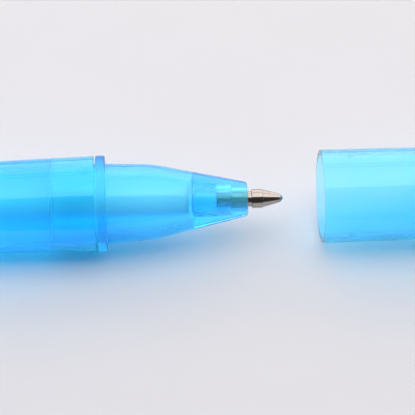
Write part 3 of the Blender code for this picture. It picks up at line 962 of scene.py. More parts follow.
@dataclass
class Assembly:
    """A set of pieces on one axis, with what makes and dresses them."""

    axis: Axis
    trees: Trees
    finishes: Finishes

    def turned(
        self,
        corners: Sequence[Corner],
        finish: Material,
        sides: int = SHELL_SIDES,
        closed: bool = True,
        reach: float = 0.0,
    ) -> Mesh:
        """Turns an outline about the axis.

        Args:
            corners: the outline's corners.
            finish: the material.
            sides: how many sides a turn has.
            closed: True if the outline's last corner joins its first.
            reach: how far the rounds of corners with no third value reach.

        Returns:
            The turned mesh.
        """
        line = line_mesh([(x, 0.0, radius) for x, radius in rounded(corners, closed, reach)])
        return smooth(self.trees.lathe.run(line, finish, Sides=sides))

    def swept(self, path: Sequence[Place], thickness: float, section: Section, finish: Material) -> Mesh:
        """Sweeps a wire along a path.

        Args:
            path: the points that it follows.
            thickness: the wire's thickness.
            section: round or square.
            finish: the material.

        Returns:
            The wire's mesh.
        """
        sizes = {"Thickness": thickness, "Sides": WIRE_SIDES, "Square": section is Section.SQUARE}
        return smooth(self.trees.wire.run(line_mesh(path), finish, **sizes))

    def put(self, name: str, mesh: Mesh, body: Body, slot: Slot, node: str | None = None) -> None:
        """Puts a finished mesh into the frame.

        Args:
            name: the piece's name.
            mesh: the mesh, in millimetres on the axis.
            body: the body that the piece rides on.
            slot: the record's slot that its finish belongs to; not used.
            node: the CAD node that it stands for.
        """
        mesh.transform(self.axis.matrix())
        piece = linked(name, mesh)
        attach(piece, body.value)
        if node:
            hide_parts(node)
        LOG.info("%s: %d faces on %s", name, len(mesh.polygons), body.value)


@dataclass
class PenBody(Assembly):
    """The barrel and the nose section, both clear blue."""

    seat_gap: float = 0.05
    barrel_length: float = 84.7
    front_radius: float = 5.8
    tail_radius: float = 4.7
    bend_reach: float = 37.5
    front_slope: float = 0.0244
    wall: float = 1.05
    end_wall: float = 1.4
    end_round: float = 1.3
    end_clearance: float = 0.4
    boss_length: float = 4.0
    boss_wall: float = 0.9
    joint_slit: float = 0.18
    tube_bore: float = 1.7
    collar_width: float = 1.1
    edge_round: float = 0.12
    nose_radius: float = 4.82
    break_radius: float = 4.6
    straight: float = 5.6
    nose_length: float = 17.1
    nose_end_radius: float = 2.05
    nose_end_round: float = 0.35
    nose_solid: float = 6.7
    nose_blend: float = 1.4
    point_grip: float = 2.1
    point_bore: float = 1.15
    holder_bore: float = 1.45
    shank_rear: float = 13.2
    spigot_length: float = 5.3
    spigot_land: float = 0.6
    spigot_groove: float = 1.1
    spigot_bead: float = 0.25
    bead_count: int = 2
    bead_ramp: float = 0.3
    bead_round: float = 0.15
    small_round: float = 0.1
    socket_round: float = 0.05
    step_round: float = 0.2
    floor_round: float = 0.3
    bead_foot: float = 0.08
    land_round: float = 0.06
    bore_round: float = 0.04
    shoulder_round: float = 0.25
    cavity_blend: float = 1.0
    rim_round: float = 0.4
    cavity_matt: float = 0.7
    spigot_matt: float = 1.3
    bead_pale: float = 0.9
    collar_matt: float = 0.5
    joint_matt: float = 0.4
    bore_matt: float = 1.2
    grip_matt: float = 0.6
    shoulder_matt: float = 0.5

    def barrel_corners(self) -> list[Corner]:
        """Lays out the barrel's section: a curved taper, a closed end with a boss, and a socket.

        Returns:
            The corners, from the middle of the end round the outside and back along the inside.
        """
        front = -self.collar_width - self.joint_slit
        rear = front - self.barrel_length
        floor = rear + self.end_wall
        socket = self.nose_radius + self.seat_gap
        socket_floor = -self.collar_width - self.spigot_length - self.seat_gap
        start = (rear + self.end_round, self.tail_radius)
        waist = (front - self.bend_reach, self.front_radius - self.front_slope * self.bend_reach)
        outside = bend(start, waist, (front, self.front_radius), steps=28)
        low, high = floor + self.end_clearance, socket_floor - self.end_clearance
        inside = [(x, radius - self.wall) for x, radius in reversed(outside) if low < x < high]
        boss = self.tube_bore + self.boss_wall
        boss_front = floor + self.boss_length
        small = self.small_round
        end_centre = (rear + self.end_round, self.tail_radius - self.end_round)
        return [
            (rear, 0.0), *arc(end_centre, self.end_round, pi, pi / 2, steps=8)[:-1], *outside[:-1],
            (front, self.front_radius, small), (front, socket, small),
            (socket_floor, socket, self.socket_round), (socket_floor, inside[0][1], self.step_round),
            *inside[1:], (floor, inside[-1][1], self.floor_round),
            (floor, boss, self.step_round), (boss_front, boss, small),
            (boss_front, self.tube_bore, small), (floor, self.tube_bore, small), (floor, 0.0),
        ]

    def spigot_corners(self) -> list[Corner]:
        """Lays out the spigot: lead-in, snap beads, groove and land.

        Returns:
            The corners from its rear rim to the collar.
        """
        rear = -self.collar_width - self.spigot_length
        waist = self.nose_radius - self.spigot_bead
        groove_front = -self.collar_width - self.spigot_land
        groove_rear = groove_front - self.spigot_groove
        pitch = (groove_rear - rear) / self.bead_count
        corners: list[Corner] = [(rear, waist, self.step_round)]
        for bead in range(self.bead_count):
            start = rear + bead * pitch
            end = start + pitch
            corners.append((start + self.bead_ramp, self.nose_radius, self.bead_round))
            corners.append((end - self.bead_ramp, self.nose_radius, self.bead_round))
            corners.append((end, waist, self.bead_foot))
        return [
            *corners,
            (groove_front, waist, self.bead_foot), (groove_front, self.nose_radius, self.land_round),
            (-self.collar_width, self.nose_radius, self.socket_round),
        ]

    def nose_corners(self) -> list[Corner]:
        """Lays out the nose's section: spigot, collar, straight part, cone and the hollow inside.

        Returns:
            The corners, round the outside to the front and back along the inside.
        """
        slope = (self.break_radius - self.nose_end_radius) / (self.nose_length - self.straight)
        side_slope = (self.nose_radius - self.break_radius) / self.straight
        reach = self.nose_blend
        blend_rear = (self.straight - reach, self.break_radius + side_slope * reach)
        blend_front = (self.straight + reach, self.break_radius - slope * reach)
        shoulder = self.nose_length - self.nose_solid
        bore_step = self.nose_length - self.point_grip
        cavity_rear = self.nose_radius - self.spigot_bead - self.wall
        cavity_break = self.break_radius - self.wall
        cavity_front = cavity_break - slope * (shoulder - self.straight)
        rear = -self.collar_width - self.spigot_length
        edge = self.edge_round
        return [
            *self.spigot_corners(),
            (-self.collar_width, self.front_radius, edge), (0.0, self.front_radius, edge),
            (0.0, self.nose_radius, self.small_round),
            *bend(blend_rear, (self.straight, self.break_radius), blend_front, steps=12),
            (self.nose_length, self.nose_end_radius, self.nose_end_round),
            (self.nose_length, self.point_bore, self.land_round),
            (bore_step, self.point_bore, self.bore_round), (bore_step, self.holder_bore, self.bore_round),
            (self.shank_rear, self.holder_bore),
            (shoulder, self.holder_bore, self.land_round), (shoulder, cavity_front, self.shoulder_round),
            (self.straight, cavity_break, self.cavity_blend), (rear, cavity_rear, self.rim_round),
        ]

    def build(self) -> None:
        """Makes both shells."""
        edge = self.small_round
        collar_rear = -self.collar_width
        spigot_rear = collar_rear - self.spigot_length
        groove_rear = collar_rear - self.spigot_land - self.spigot_groove
        shoulder = self.nose_length - self.nose_solid
        barrel = lined(
            self.turned(self.barrel_corners(), self.finishes.barrel, closed=False),
            Zone(spigot_rear - edge, 1.0),
            Zone(spigot_rear, 1.0, 1.0),
            Zone(groove_rear, self.joint_matt, 0.0, self.bead_pale),
            Zone(inf, self.joint_matt, 0.0, 1.0),
        )
        self.put("barrel_shell", barrel, Body.PEN, Slot.BLUE, "barrel")
        nose = lined(
            self.turned(self.nose_corners(), self.finishes.nose),
            Zone(groove_rear, self.spigot_matt, self.joint_matt, self.bead_pale),
            Zone(collar_rear + edge, self.spigot_matt, self.joint_matt, 1.0),
            Zone(edge, self.cavity_matt, self.collar_matt),
            Zone(shoulder - edge, self.cavity_matt),
            Zone(shoulder + edge, self.cavity_matt, self.shoulder_matt),
            Zone(self.shank_rear, self.bore_matt),
            Zone(inf, self.grip_matt),
        )
        self.put("nose_shell", nose, Body.PEN, Slot.BLUE, "nose_section")


@dataclass
class Refill(Assembly):
    """The ink tube, the clear ink in it and the bush that carries the point."""

    tube_rear: float = -84.08
    tube_front: float = 9.8
    tube_radius: float = 1.6
    tube_bore: float = 1.05
    ink_length: float = 62.0
    ink_radius: float = 1.0
    meniscus: float = 0.7
    holder_rear: float = 5.85
    flange_rear: float = 9.85
    flange_front: float = 10.35
    flange_radius: float = 1.8
    holder_radius: float = 1.4
    holder_front: float = 14.95
    shank_socket: float = 13.15
    shank_bore: float = 0.95
    ink_channel: float = 0.45
    edge: float = 0.08
    lead_in: float = 0.2
    small_round: float = 0.05
    front_round: float = 0.12
    socket_round: float = 0.04
    gap: float = 0.05

    def build(self) -> None:
        """Makes the three pieces."""
        edge = self.edge
        small = self.small_round
        wall = rectangle(self.tube_rear, self.tube_front, self.tube_bore, self.tube_radius)
        tube = self.turned(wall, self.finishes.milky, SMALL_SIDES, reach=edge)
        self.put("ink_tube", tube, Body.PEN, Slot.MILKY, "refill_tube")

        front = self.holder_rear - self.gap
        rear = front - self.ink_length
        crown = rear + self.meniscus
        surface = bend((crown, 0.0), (crown, self.ink_radius), (rear, self.ink_radius), steps=10)
        column = [*surface, (front, self.ink_radius), (front, 0.0)]
        ink = self.turned(column, self.finishes.ink, SMALL_SIDES, closed=False)
        self.put("ink_thread", ink, Body.PEN, Slot.CLEAR, "ink_column")

        spigot = self.tube_bore - self.gap
        corners = [
            (self.holder_rear, spigot, self.lead_in), (self.flange_rear, spigot, small),
            (self.flange_rear, self.flange_radius, edge), (self.flange_front, self.flange_radius, edge),
            (self.flange_front, self.holder_radius, small),
            (self.holder_front, self.holder_radius, self.front_round),
            (self.holder_front, self.shank_bore, small),
            (self.shank_socket, self.shank_bore, self.socket_round),
            (self.shank_socket, self.ink_channel, self.socket_round),
            (self.holder_rear, self.ink_channel, small),
        ]
        holder = self.turned(corners, self.finishes.clear, SMALL_SIDES)
        self.put("point_bush", holder, Body.PEN, Slot.CLEAR, "tip_holder")


@dataclass
class WritingPoint(Assembly):
    """The turned metal point and the ball in its lip."""

    nose_length: float = 17.1
    bore_step: float = 15.0
    shank_rear: float = 13.2
    shank_radius: float = 0.9
    grip_radius: float = 1.1
    neck_gap: float = 0.05
    neck_radius: float = 0.95
    neck_length: float = 0.5
    head_radius: float = 1.15
    head_length: float = 1.3
    cone_step: float = 0.07
    cone_length: float = 2.3
    ball_radius: float = 0.4
    ball_shows: float = 0.2
    ball_gap: float = 0.03
    lip_wall: float = 0.06
    feed: float = 0.2
    ink_channel: float = 0.45
    swage_length: float = 0.5
    swage_rise: float = 0.03
    edge: float = 0.05
    step_round: float = 0.03
    shank_round: float = 0.1
    head_round: float = 0.08
    swage_round: float = 0.2
    lip_round: float = 0.02

    def build(self) -> None:
        """Makes the point and the ball."""
        head_rear = self.nose_length + self.neck_length
        head_front = head_rear + self.head_length
        lip_front = head_front + self.cone_length
        ball_centre = lip_front + self.ball_shows - self.ball_radius
        cup = self.ball_radius + self.ball_gap
        lip_angle = acos((lip_front - ball_centre) / cup)
        feed_angle = pi - asin(self.feed / cup)
        lip_radius = cup * sin(lip_angle) + self.lip_wall
        swage_rear = lip_front - self.swage_length
        share = 1 - self.swage_length / self.cone_length
        swage_radius = self.head_radius + (lip_radius - self.head_radius) * share + self.swage_rise
        edge = self.edge
        step = self.step_round
        eased = self.shank_round
        neck_rear = self.nose_length + self.neck_gap
        corners = [
            (self.shank_rear, self.ink_channel, eased), (self.shank_rear, self.shank_radius, eased),
            (self.bore_step, self.shank_radius, step), (self.bore_step, self.grip_radius, edge),
            (neck_rear, self.grip_radius, edge), (neck_rear, self.neck_radius, step),
            (head_rear, self.neck_radius, edge), (head_rear, self.head_radius, self.head_round),
            (head_front, self.head_radius, step), (head_front + edge, self.head_radius - self.cone_step),
            (swage_rear, swage_radius, self.swage_round), (lip_front, lip_radius, self.lip_round),
            *arc((ball_centre, 0.0), cup, lip_angle, feed_angle, steps=20),
            (head_front, self.feed, eased), (head_rear, self.ink_channel, eased),
        ]
        socket = self.turned(corners, self.finishes.nickel, SMALL_SIDES)
        self.put("metal_point", socket, Body.PEN, Slot.NICKEL, "tip_socket")

        round_side = arc((ball_centre, 0.0), self.ball_radius, pi, 0.0, steps=32)
        outline = [(round_side[0][0], 0.0), *round_side[1:-1], (round_side[-1][0], 0.0)]
        ball = self.turned(outline, self.finishes.carbide, SMALL_SIDES, closed=False)
        self.put("point_ball", ball, Body.BALL, Slot.STEEL, "writing_ball")


@dataclass
class CapShell(Assembly):
    """The cap with its stepped mouth, the cover over its end and the clip between them."""

    mouth_bore: float = 5.0
    mouth_radius: float = 5.68
    mouth_depth: float = 3.3
    mouth_step: float = 0.1
    step_ramp: float = 0.35
    draft: float = 0.1
    rib_front: float = 23.0
    rib_rear: float = 24.0
    rib_height: float = 1.5
    lamp_bore: float = 4.85
    end: float = 44.66
    end_radius: float = 5.42
    edge_round: float = 0.14
    end_edge: float = 0.08
    rib_round: float = 0.1
    bore_round: float = 0.2
    window_centre: float = 29.85
    window_length: float = 5.2
    window_width: float = 3.2
    window_floor: float = 3.6
    lamp_base: float = 39.96
    flange_seat: float = 41.01
    plug_gap: float = 0.05
    plug_round: float = 0.12
    seat_round: float = 0.05
    flange_round: float = 0.1
    hole_round: float = 0.15
    cover_front: float = 45.76
    cover_rear: float = 47.06
    cover_round: float = 0.5
    lamp_hole: float = 2.6
    flange_hole: float = 3.05
    ring_front: float = 44.71
    ring_rear: float = 45.71
    ring_round: float = 0.06
    clip_root: float = 0.1
    clip_length: float = 31.0
    clip_gap: float = 2.4
    clip_thickness: float = 1.2
    clip_width: float = 3.8
    clip_tip_width: float = 3.2
    clip_corner: float = 1.8
    clip_bead: float = 1.5
    clip_bead_gap: float = 0.3
    clip_round: float = 0.3
    clip_edge_angle: float = radians(60)
    clip_segments: int = 4

    @classmethod
    def roll(cls, height: float) -> float:
        """Finds how far the cap is rolled so that its clip's corner meets the table.

        Args:
            height: how high the cap's axis is.

        Returns:
            The angle about the axis.
        """
        reach = cls.end_radius + cls.clip_gap + cls.clip_thickness
        half = cls.clip_width / 2
        return acos(height / hypot(reach, half)) + atan2(half, reach)

    def shell_mesh(self) -> Mesh:
        """Makes the cap's wall with the window for the button.

        Returns:
            The wall's mesh.
        """
        bore = self.mouth_bore - self.mouth_step
        rib = self.lamp_bore - self.rib_height
        edge = self.edge_round
        ramp = self.step_ramp
        corners = [
            (0.0, self.mouth_bore, edge), (0.0, self.mouth_radius, edge),
            (self.end, self.end_radius, self.end_edge), (self.end, self.lamp_bore, self.end_edge),
            (self.rib_rear, self.lamp_bore, self.rib_round), (self.rib_rear, rib, self.rib_round),
            (self.rib_front, rib, self.rib_round), (self.rib_front, bore - self.draft, self.bore_round),
            (self.mouth_depth + ramp, bore, ramp), (self.mouth_depth - ramp, self.mouth_bore, ramp),
        ]
        shell = self.turned(corners, self.finishes.cap_blue)
        window = stadium(self.window_centre, self.window_length, self.window_width, steps=14)
        beyond = 3 * self.end_radius
        cut = combined(shell, Joining.CUT, prism(window, self.window_floor, beyond, Along.Z))
        return lined(smooth(cut), Zone(inf, 1.0))

    def cover_mesh(self) -> Mesh:
        """Makes the plug that closes the cap round the lamp.

        Returns:
            The plug's mesh.
        """
        plug = self.lamp_bore - self.plug_gap
        seat = self.seat_round
        corners = [
            (self.lamp_base, self.flange_hole, self.end_edge), (self.lamp_base, plug, self.plug_round),
            (self.cover_front, plug, seat), (self.cover_front, self.end_radius, self.flange_round),
            (self.cover_rear, self.end_radius, self.cover_round),
            (self.cover_rear, self.lamp_hole, self.hole_round),
            (self.flange_seat, self.lamp_hole, seat), (self.flange_seat, self.flange_hole, seat),
        ]
        return self.turned(corners, self.finishes.cap_blue)

    def clip_outline(self) -> list[Point]:
        """Draws the clip's side view: root, outer corner, arm, bead and inner corner.

        Returns:
            The outline's points.
        """
        inner = self.end_radius + self.clip_gap
        reach = inner + self.clip_thickness
        root = -(self.lamp_bore + self.clip_root)
        tip = self.ring_front - self.clip_length
        surface = self.mouth_radius + (self.end_radius - self.mouth_radius) * tip / self.end
        bead_low = -(surface + self.clip_bead_gap)
        bead_middle = tip + self.clip_bead
        bead_draw = (bead_middle, 2 * bead_low + inner)
        corner = self.clip_corner
        small = corner - (self.ring_rear - self.ring_front)
        return [
            (self.ring_front, root), (self.ring_rear, root),
            *arc((self.ring_rear - corner, corner - reach), corner, 0.0, -pi / 2, steps=14),
            *bend((bead_middle, -reach), (tip, -reach), (tip, -inner), steps=10),
            *bend((tip, -inner), bead_draw, (tip + 2 * self.clip_bead, -inner), steps=14)[1:],
            *arc((self.ring_front - small, small - inner), small, -pi / 2, 0.0, steps=10),
        ]

    def clip_mesh(self) -> Mesh:
        """Makes the clip's arm, joined to the ring that the cover traps.

        Returns:
            The clip's mesh.
        """
        half = self.clip_width / 2
        arm = prism(self.clip_outline(), -half, half, Along.Y, self.finishes.cap_blue)
        narrowing = self.clip_tip_width / self.clip_width - 1
        for vertex in arm.vertices:
            vertex.co.y *= 1 + narrowing * (self.ring_rear - vertex.co.x) / self.clip_length
        arm = bevelled(arm, self.clip_round, self.clip_segments, self.clip_edge_angle)
        band = rectangle(self.ring_front, self.ring_rear, self.lamp_bore, self.end_radius)
        ring = self.turned(band, self.finishes.cap_blue, reach=self.ring_round)
        return smooth(combined(arm, Joining.ADD, ring))

    def build(self) -> None:
        """Makes the shell, the cover and the clip."""
        self.put("cap_wall", self.shell_mesh(), Body.CAP, Slot.CAP, "cap_shell")
        self.put("cap_cover", self.cover_mesh(), Body.CAP, Slot.CAP, "end_cover")
        self.put("cap_clip", self.clip_mesh(), Body.CAP, Slot.CAP, "pocket_clip")


@dataclass
class LampUnit(Assembly):
    """What the cap's closed end holds: cradle, spring, cells, lamp and leads."""

    cradle_front: float = 24.05
    spring_seat: float = 25.05
    cells_front: float = 27.35
    cells_rear: float = 38.06
    lead_wall: float = 38.91
    cradle_rear: float = 39.91
    cradle_radius: float = 4.75
    cradle_round: float = 0.15
    trough_radius: float = 4.05
    trough_opening: float = 2.55
    cell_offset: float = 0.35
    cell_count: int = 3
    cell_pitch: float = 3.57
    cell_radius: float = 3.95
    cell_height: float = 3.55
    cell_round: float = 0.3
    cell_cap_radius: float = 3.1
    cell_cap_height: float = 0.3
    cell_cap_slope: float = 0.05
    cell_cap_round: float = 0.22
    crimp_round: float = 0.45
    crimp_edge: float = 0.06
    groove_edge: float = 0.03
    crimp_depth: float = 0.12
    crimp_lap: float = 0.05
    gasket_inner: float = 0.02
    gasket_outer: float = 0.22
    gasket_sunk: float = 0.03
    gasket_gap: float = 0.01
    spring_wire: float = 0.36
    spring_wide: float = 2.9
    spring_narrow: float = 1.9
    spring_turns: float = 3.5
    spring_steps: int = 40
    lead_wire: float = 0.45
    lead_spacing: float = 2.54
    lead_foot: float = 1.6
    lead_bend: float = 0.45
    foot_slack: float = 0.02
    leaf_bottom: float = 4.13
    leaf_width: float = 2.0
    leaf_seat: float = 0.6
    lamp_base: float = 39.96
    lamp_shoulder: float = 40.96
    lamp_end: float = 48.56
    lamp_radius: float = 2.5
    lamp_flange: float = 2.95
    base_round: float = 0.08
    flange_round: float = 0.12
    foot_round: float = 0.1
    frame_base: float = 0.15
    cup_base: float = 3.1
    cup_depth: float = 0.6
    cup_foot: float = 0.62
    cup_rim: float = 0.8
    cup_mouth: float = 0.68
    cup_seat: float = 0.4
    cup_floor: float = 0.25
    cup_edge: float = 0.04
    anvil_lap: float = 0.1
    anvil_top: float = 0.55
    anvil_slope: Span = (1.3, 0.5)
    post_slope: Span = (0.9, 0.4)
    post_low: Span = (0.85, 0.95)
    post_top: float = 1.5
    post_sunk: float = 0.1
    plate_round: float = 0.05
    plate_edge_angle: float = radians(30)
    plate_segments: int = 2
    bond_wire: float = 0.05
    bond_foot: float = 0.36
    bond_crown: Point = (0.75, 0.35)
    bond_end: Point = (-0.12, 1.2)
    die_half: float = 0.18
    die_low: float = 0.26
    die_high: float = 0.38
    gap: float = 0.05
    slide_gap: float = 0.1

    def cradle_mesh(self) -> Mesh:
        """Makes the white trough with its end wall, lead holes and leaf seat.

        Returns:
            The cradle's mesh.
        """
        rod = [
            (self.cradle_front, 0.0), (self.cradle_front, self.cradle_radius, self.cradle_round),
            (self.cradle_rear, self.cradle_radius, self.cradle_round), (self.cradle_rear, 0.0),
        ]
        mesh = self.turned(rod, self.finishes.white, closed=False)
        high = 3 * self.cradle_radius
        edge = asin(self.trough_opening / self.trough_radius)
        trough = arc((0.0, -self.cell_offset), self.trough_radius, pi / 2 + edge, 5 * pi / 2 - edge, steps=72)
        trough += [(self.trough_opening, high), (-self.trough_opening, high)]
        cutters = [prism(trough, self.spring_seat, self.lead_wall, Along.X)]
        hole = self.lead_wire / 2 + self.slide_gap
        for height in (self.lead_spacing / 2, -self.lead_spacing / 2):
            square = rectangle(-hole, hole, height - hole, height + hole)
            cutters.append(prism(square, self.cells_rear, self.lamp_shoulder, Along.X))
        half = self.leaf_width / 2 + self.slide_gap
        notch = rectangle(-half, half, self.leaf_bottom - self.slide_gap, high)
        notch_end = self.lead_wall + self.leaf_seat + self.slide_gap
        cutters.append(prism(notch, self.cells_rear, notch_end, Along.X))
        for cutter in cutters:
            mesh = combined(mesh, Joining.CUT, cutter)
        return smooth(mesh)

    def cell_mesh(self) -> Mesh:
        """Makes one button cell: can, crimped rim, grey gasket and smaller negative cap.

        Returns:
            The cell's mesh, with its positive face at 0.
        """
        rim = self.cell_height - self.cell_cap_height
        groove = rim - self.crimp_depth
        floor = groove - self.crimp_lap
        inner = self.cell_cap_radius + self.gasket_inner
        outer = self.cell_cap_radius + self.gasket_outer
        top = self.cell_cap_radius - self.cell_cap_slope
        can = [
            (0.0, 0.0), (0.0, self.cell_radius, self.cell_round), (rim, self.cell_radius, self.crimp_round),
            (rim, outer, self.crimp_edge), (groove, outer, self.groove_edge), (groove, 0.0),
        ]
        gasket = rectangle(floor, rim - self.gasket_sunk, inner, outer - self.gasket_gap)
        cap = [
            (floor, 0.0), (floor, inner - self.gasket_gap),
            (self.cell_height, top, self.cell_cap_round), (self.cell_height, 0.0),
        ]
        return merged([
            self.turned(can, self.finishes.can, closed=False),
            self.turned(gasket, self.finishes.nylon, reach=self.groove_edge),
            self.turned(cap, self.finishes.steel, closed=False),
        ])

    def spring_mesh(self) -> Mesh:
        """Makes the conical spring between the cradle's end and the first cell.

        Returns:
            The spring's mesh.
        """
        steps = int(self.spring_turns * self.spring_steps)
        first = self.spring_seat + self.spring_wire / 2 + self.gap
        last = self.cells_front - self.spring_wire / 2 - self.gap
        path = []
        for step in range(steps + 1):
            share = step / steps
            turn = tau * self.spring_turns * share
            radius = self.spring_wide + (self.spring_narrow - self.spring_wide) * share
            x = first + (last - first) * share
            path.append((x, radius * cos(turn), radius * sin(turn) - self.cell_offset))
        return self.swept(path, self.spring_wire, Section.ROUND, self.finishes.tinned)

    def lead_mesh(self, corners: list[Point]) -> Mesh:
        """Makes a lead in the cap's middle plane, with its bends rounded.

        Args:
            corners: the corners of the lead's line.

        Returns:
            The lead's mesh.
        """
        path = [(x, 0.0, z) for x, z in rounded(corners, closed=False, reach=self.lead_bend)]
        return self.swept(path, self.lead_wire, Section.SQUARE, self.finishes.tinned)

    def put_leads(self) -> None:
        """Makes the negative and the positive lead."""
        half = self.lead_wire / 2
        end = self.lamp_base - self.gap
        height = self.lead_spacing / 2
        foot = self.cells_rear - self.foot_slack + self.gap + half
        negative = [(end, -height), (foot, -height), (foot, self.lead_foot - height)]
        riser = self.lead_wall - self.gap - half
        positive = [(end, height), (riser, height), (riser, self.leaf_bottom - self.gap)]
        for pole, corners in {"negative": negative, "positive": positive}.items():
            self.put(f"lead_{pole}", self.lead_mesh(corners), Body.CAP, Slot.WIRE, f"lamp_lead_{pole}")

    def lamp_mesh(self) -> Mesh:
        """Makes the lamp's clear resin body with its flange and dome.

        Returns:
            The body's mesh.
        """
        dome_centre = (self.lamp_end - self.lamp_radius, 0.0)
        corners = [
            (self.lamp_base, 0.0), (self.lamp_base, self.lamp_flange, self.base_round),
            (self.lamp_shoulder, self.lamp_flange, self.flange_round),
            (self.lamp_shoulder, self.lamp_radius, self.foot_round),
            *arc(dome_centre, self.lamp_radius, pi / 2, 0.0, steps=24)[:-1], (self.lamp_end, 0.0),
        ]
        return self.turned(corners, self.finishes.resin, SMALL_SIDES, closed=False)

    def frame_mesh(self) -> Mesh:
        """Makes what shows inside the lamp: anvil with its cup, post, bond wire and die.

        Returns:
            The frame's mesh.
        """
        base = self.lamp_base + self.frame_base
        rear = self.lamp_base + self.cup_base
        front = rear + self.cup_depth
        height = self.lead_spacing / 2
        half = self.lead_wire / 2
        floor = rear + self.cup_floor
        edge = self.cup_edge
        cup = [
            (rear, 0.0), (rear, self.cup_foot, self.foot_round), (front, self.cup_rim, edge),
            (front, self.cup_mouth, edge), (floor, self.cup_seat, edge), (floor, 0.0),
        ]
        anvil_front = rear + self.anvil_lap
        slope_low, slope_high = self.anvil_slope
        anvil = [
            (base, -height - half), (anvil_front, -height - half), (anvil_front, self.anvil_top),
            (rear - slope_high, self.anvil_top), (rear - slope_low, -height + half), (base, -height + half),
        ]
        post_front = front - self.post_sunk
        slope_high, slope_low = self.post_slope
        low_rear, low_front = self.post_low
        post = [
            (base, height - half), (rear - slope_high, height - half), (rear - slope_low, low_rear),
            (post_front, low_front), (post_front, self.post_top), (base, self.post_top),
        ]
        meshes = [self.turned(cup, self.finishes.tinned, SMALL_SIDES, closed=False)]
        for outline in (anvil, post):
            plate = prism(outline, -half, half, Along.Y, self.finishes.tinned)
            plate = bevelled(plate, self.plate_round, self.plate_segments, self.plate_edge_angle)
            meshes.append(smooth(plate))
        crown = (front + self.bond_crown[0], self.bond_crown[1])
        end = (front + self.bond_end[0], self.bond_end[1])
        bond = bend((rear + self.bond_foot, 0.0), crown, end, steps=16)
        path = [(x, 0.0, z) for x, z in bond]
        meshes.append(self.swept(path, self.bond_wire, Section.ROUND, self.finishes.bronze))
        square = rectangle(-self.die_half, self.die_half, -self.die_half, self.die_half)
        meshes.append(prism(square, rear + self.die_low, rear + self.die_high, Along.X, self.finishes.die))
        return merged(meshes)

    def build(self) -> None:
        """Makes the unit's pieces."""
        self.put("cell_cradle", self.cradle_mesh(), Body.CAP, Slot.WHITE, "lamp_cradle")
        self.put("cell_spring", self.spring_mesh(), Body.CAP, Slot.WIRE, "battery_spring")
        for cell in range(self.cell_count):
            mesh = self.cell_mesh()
            place = (self.cells_front + cell * self.cell_pitch, 0.0, -self.cell_offset)
            mesh.transform(Matrix.Translation(place))
            self.put(f"cell_{cell + 1}", mesh, Body.CAP, Slot.STEEL, f"button_cell_{cell + 1}")
        self.put_leads()
        self.put("lamp_body", self.lamp_mesh(), Body.CAP, Slot.LAMP, "uv_lamp")
        self.put("lamp_frame", self.frame_mesh(), Body.CAP, Slot.WIRE)


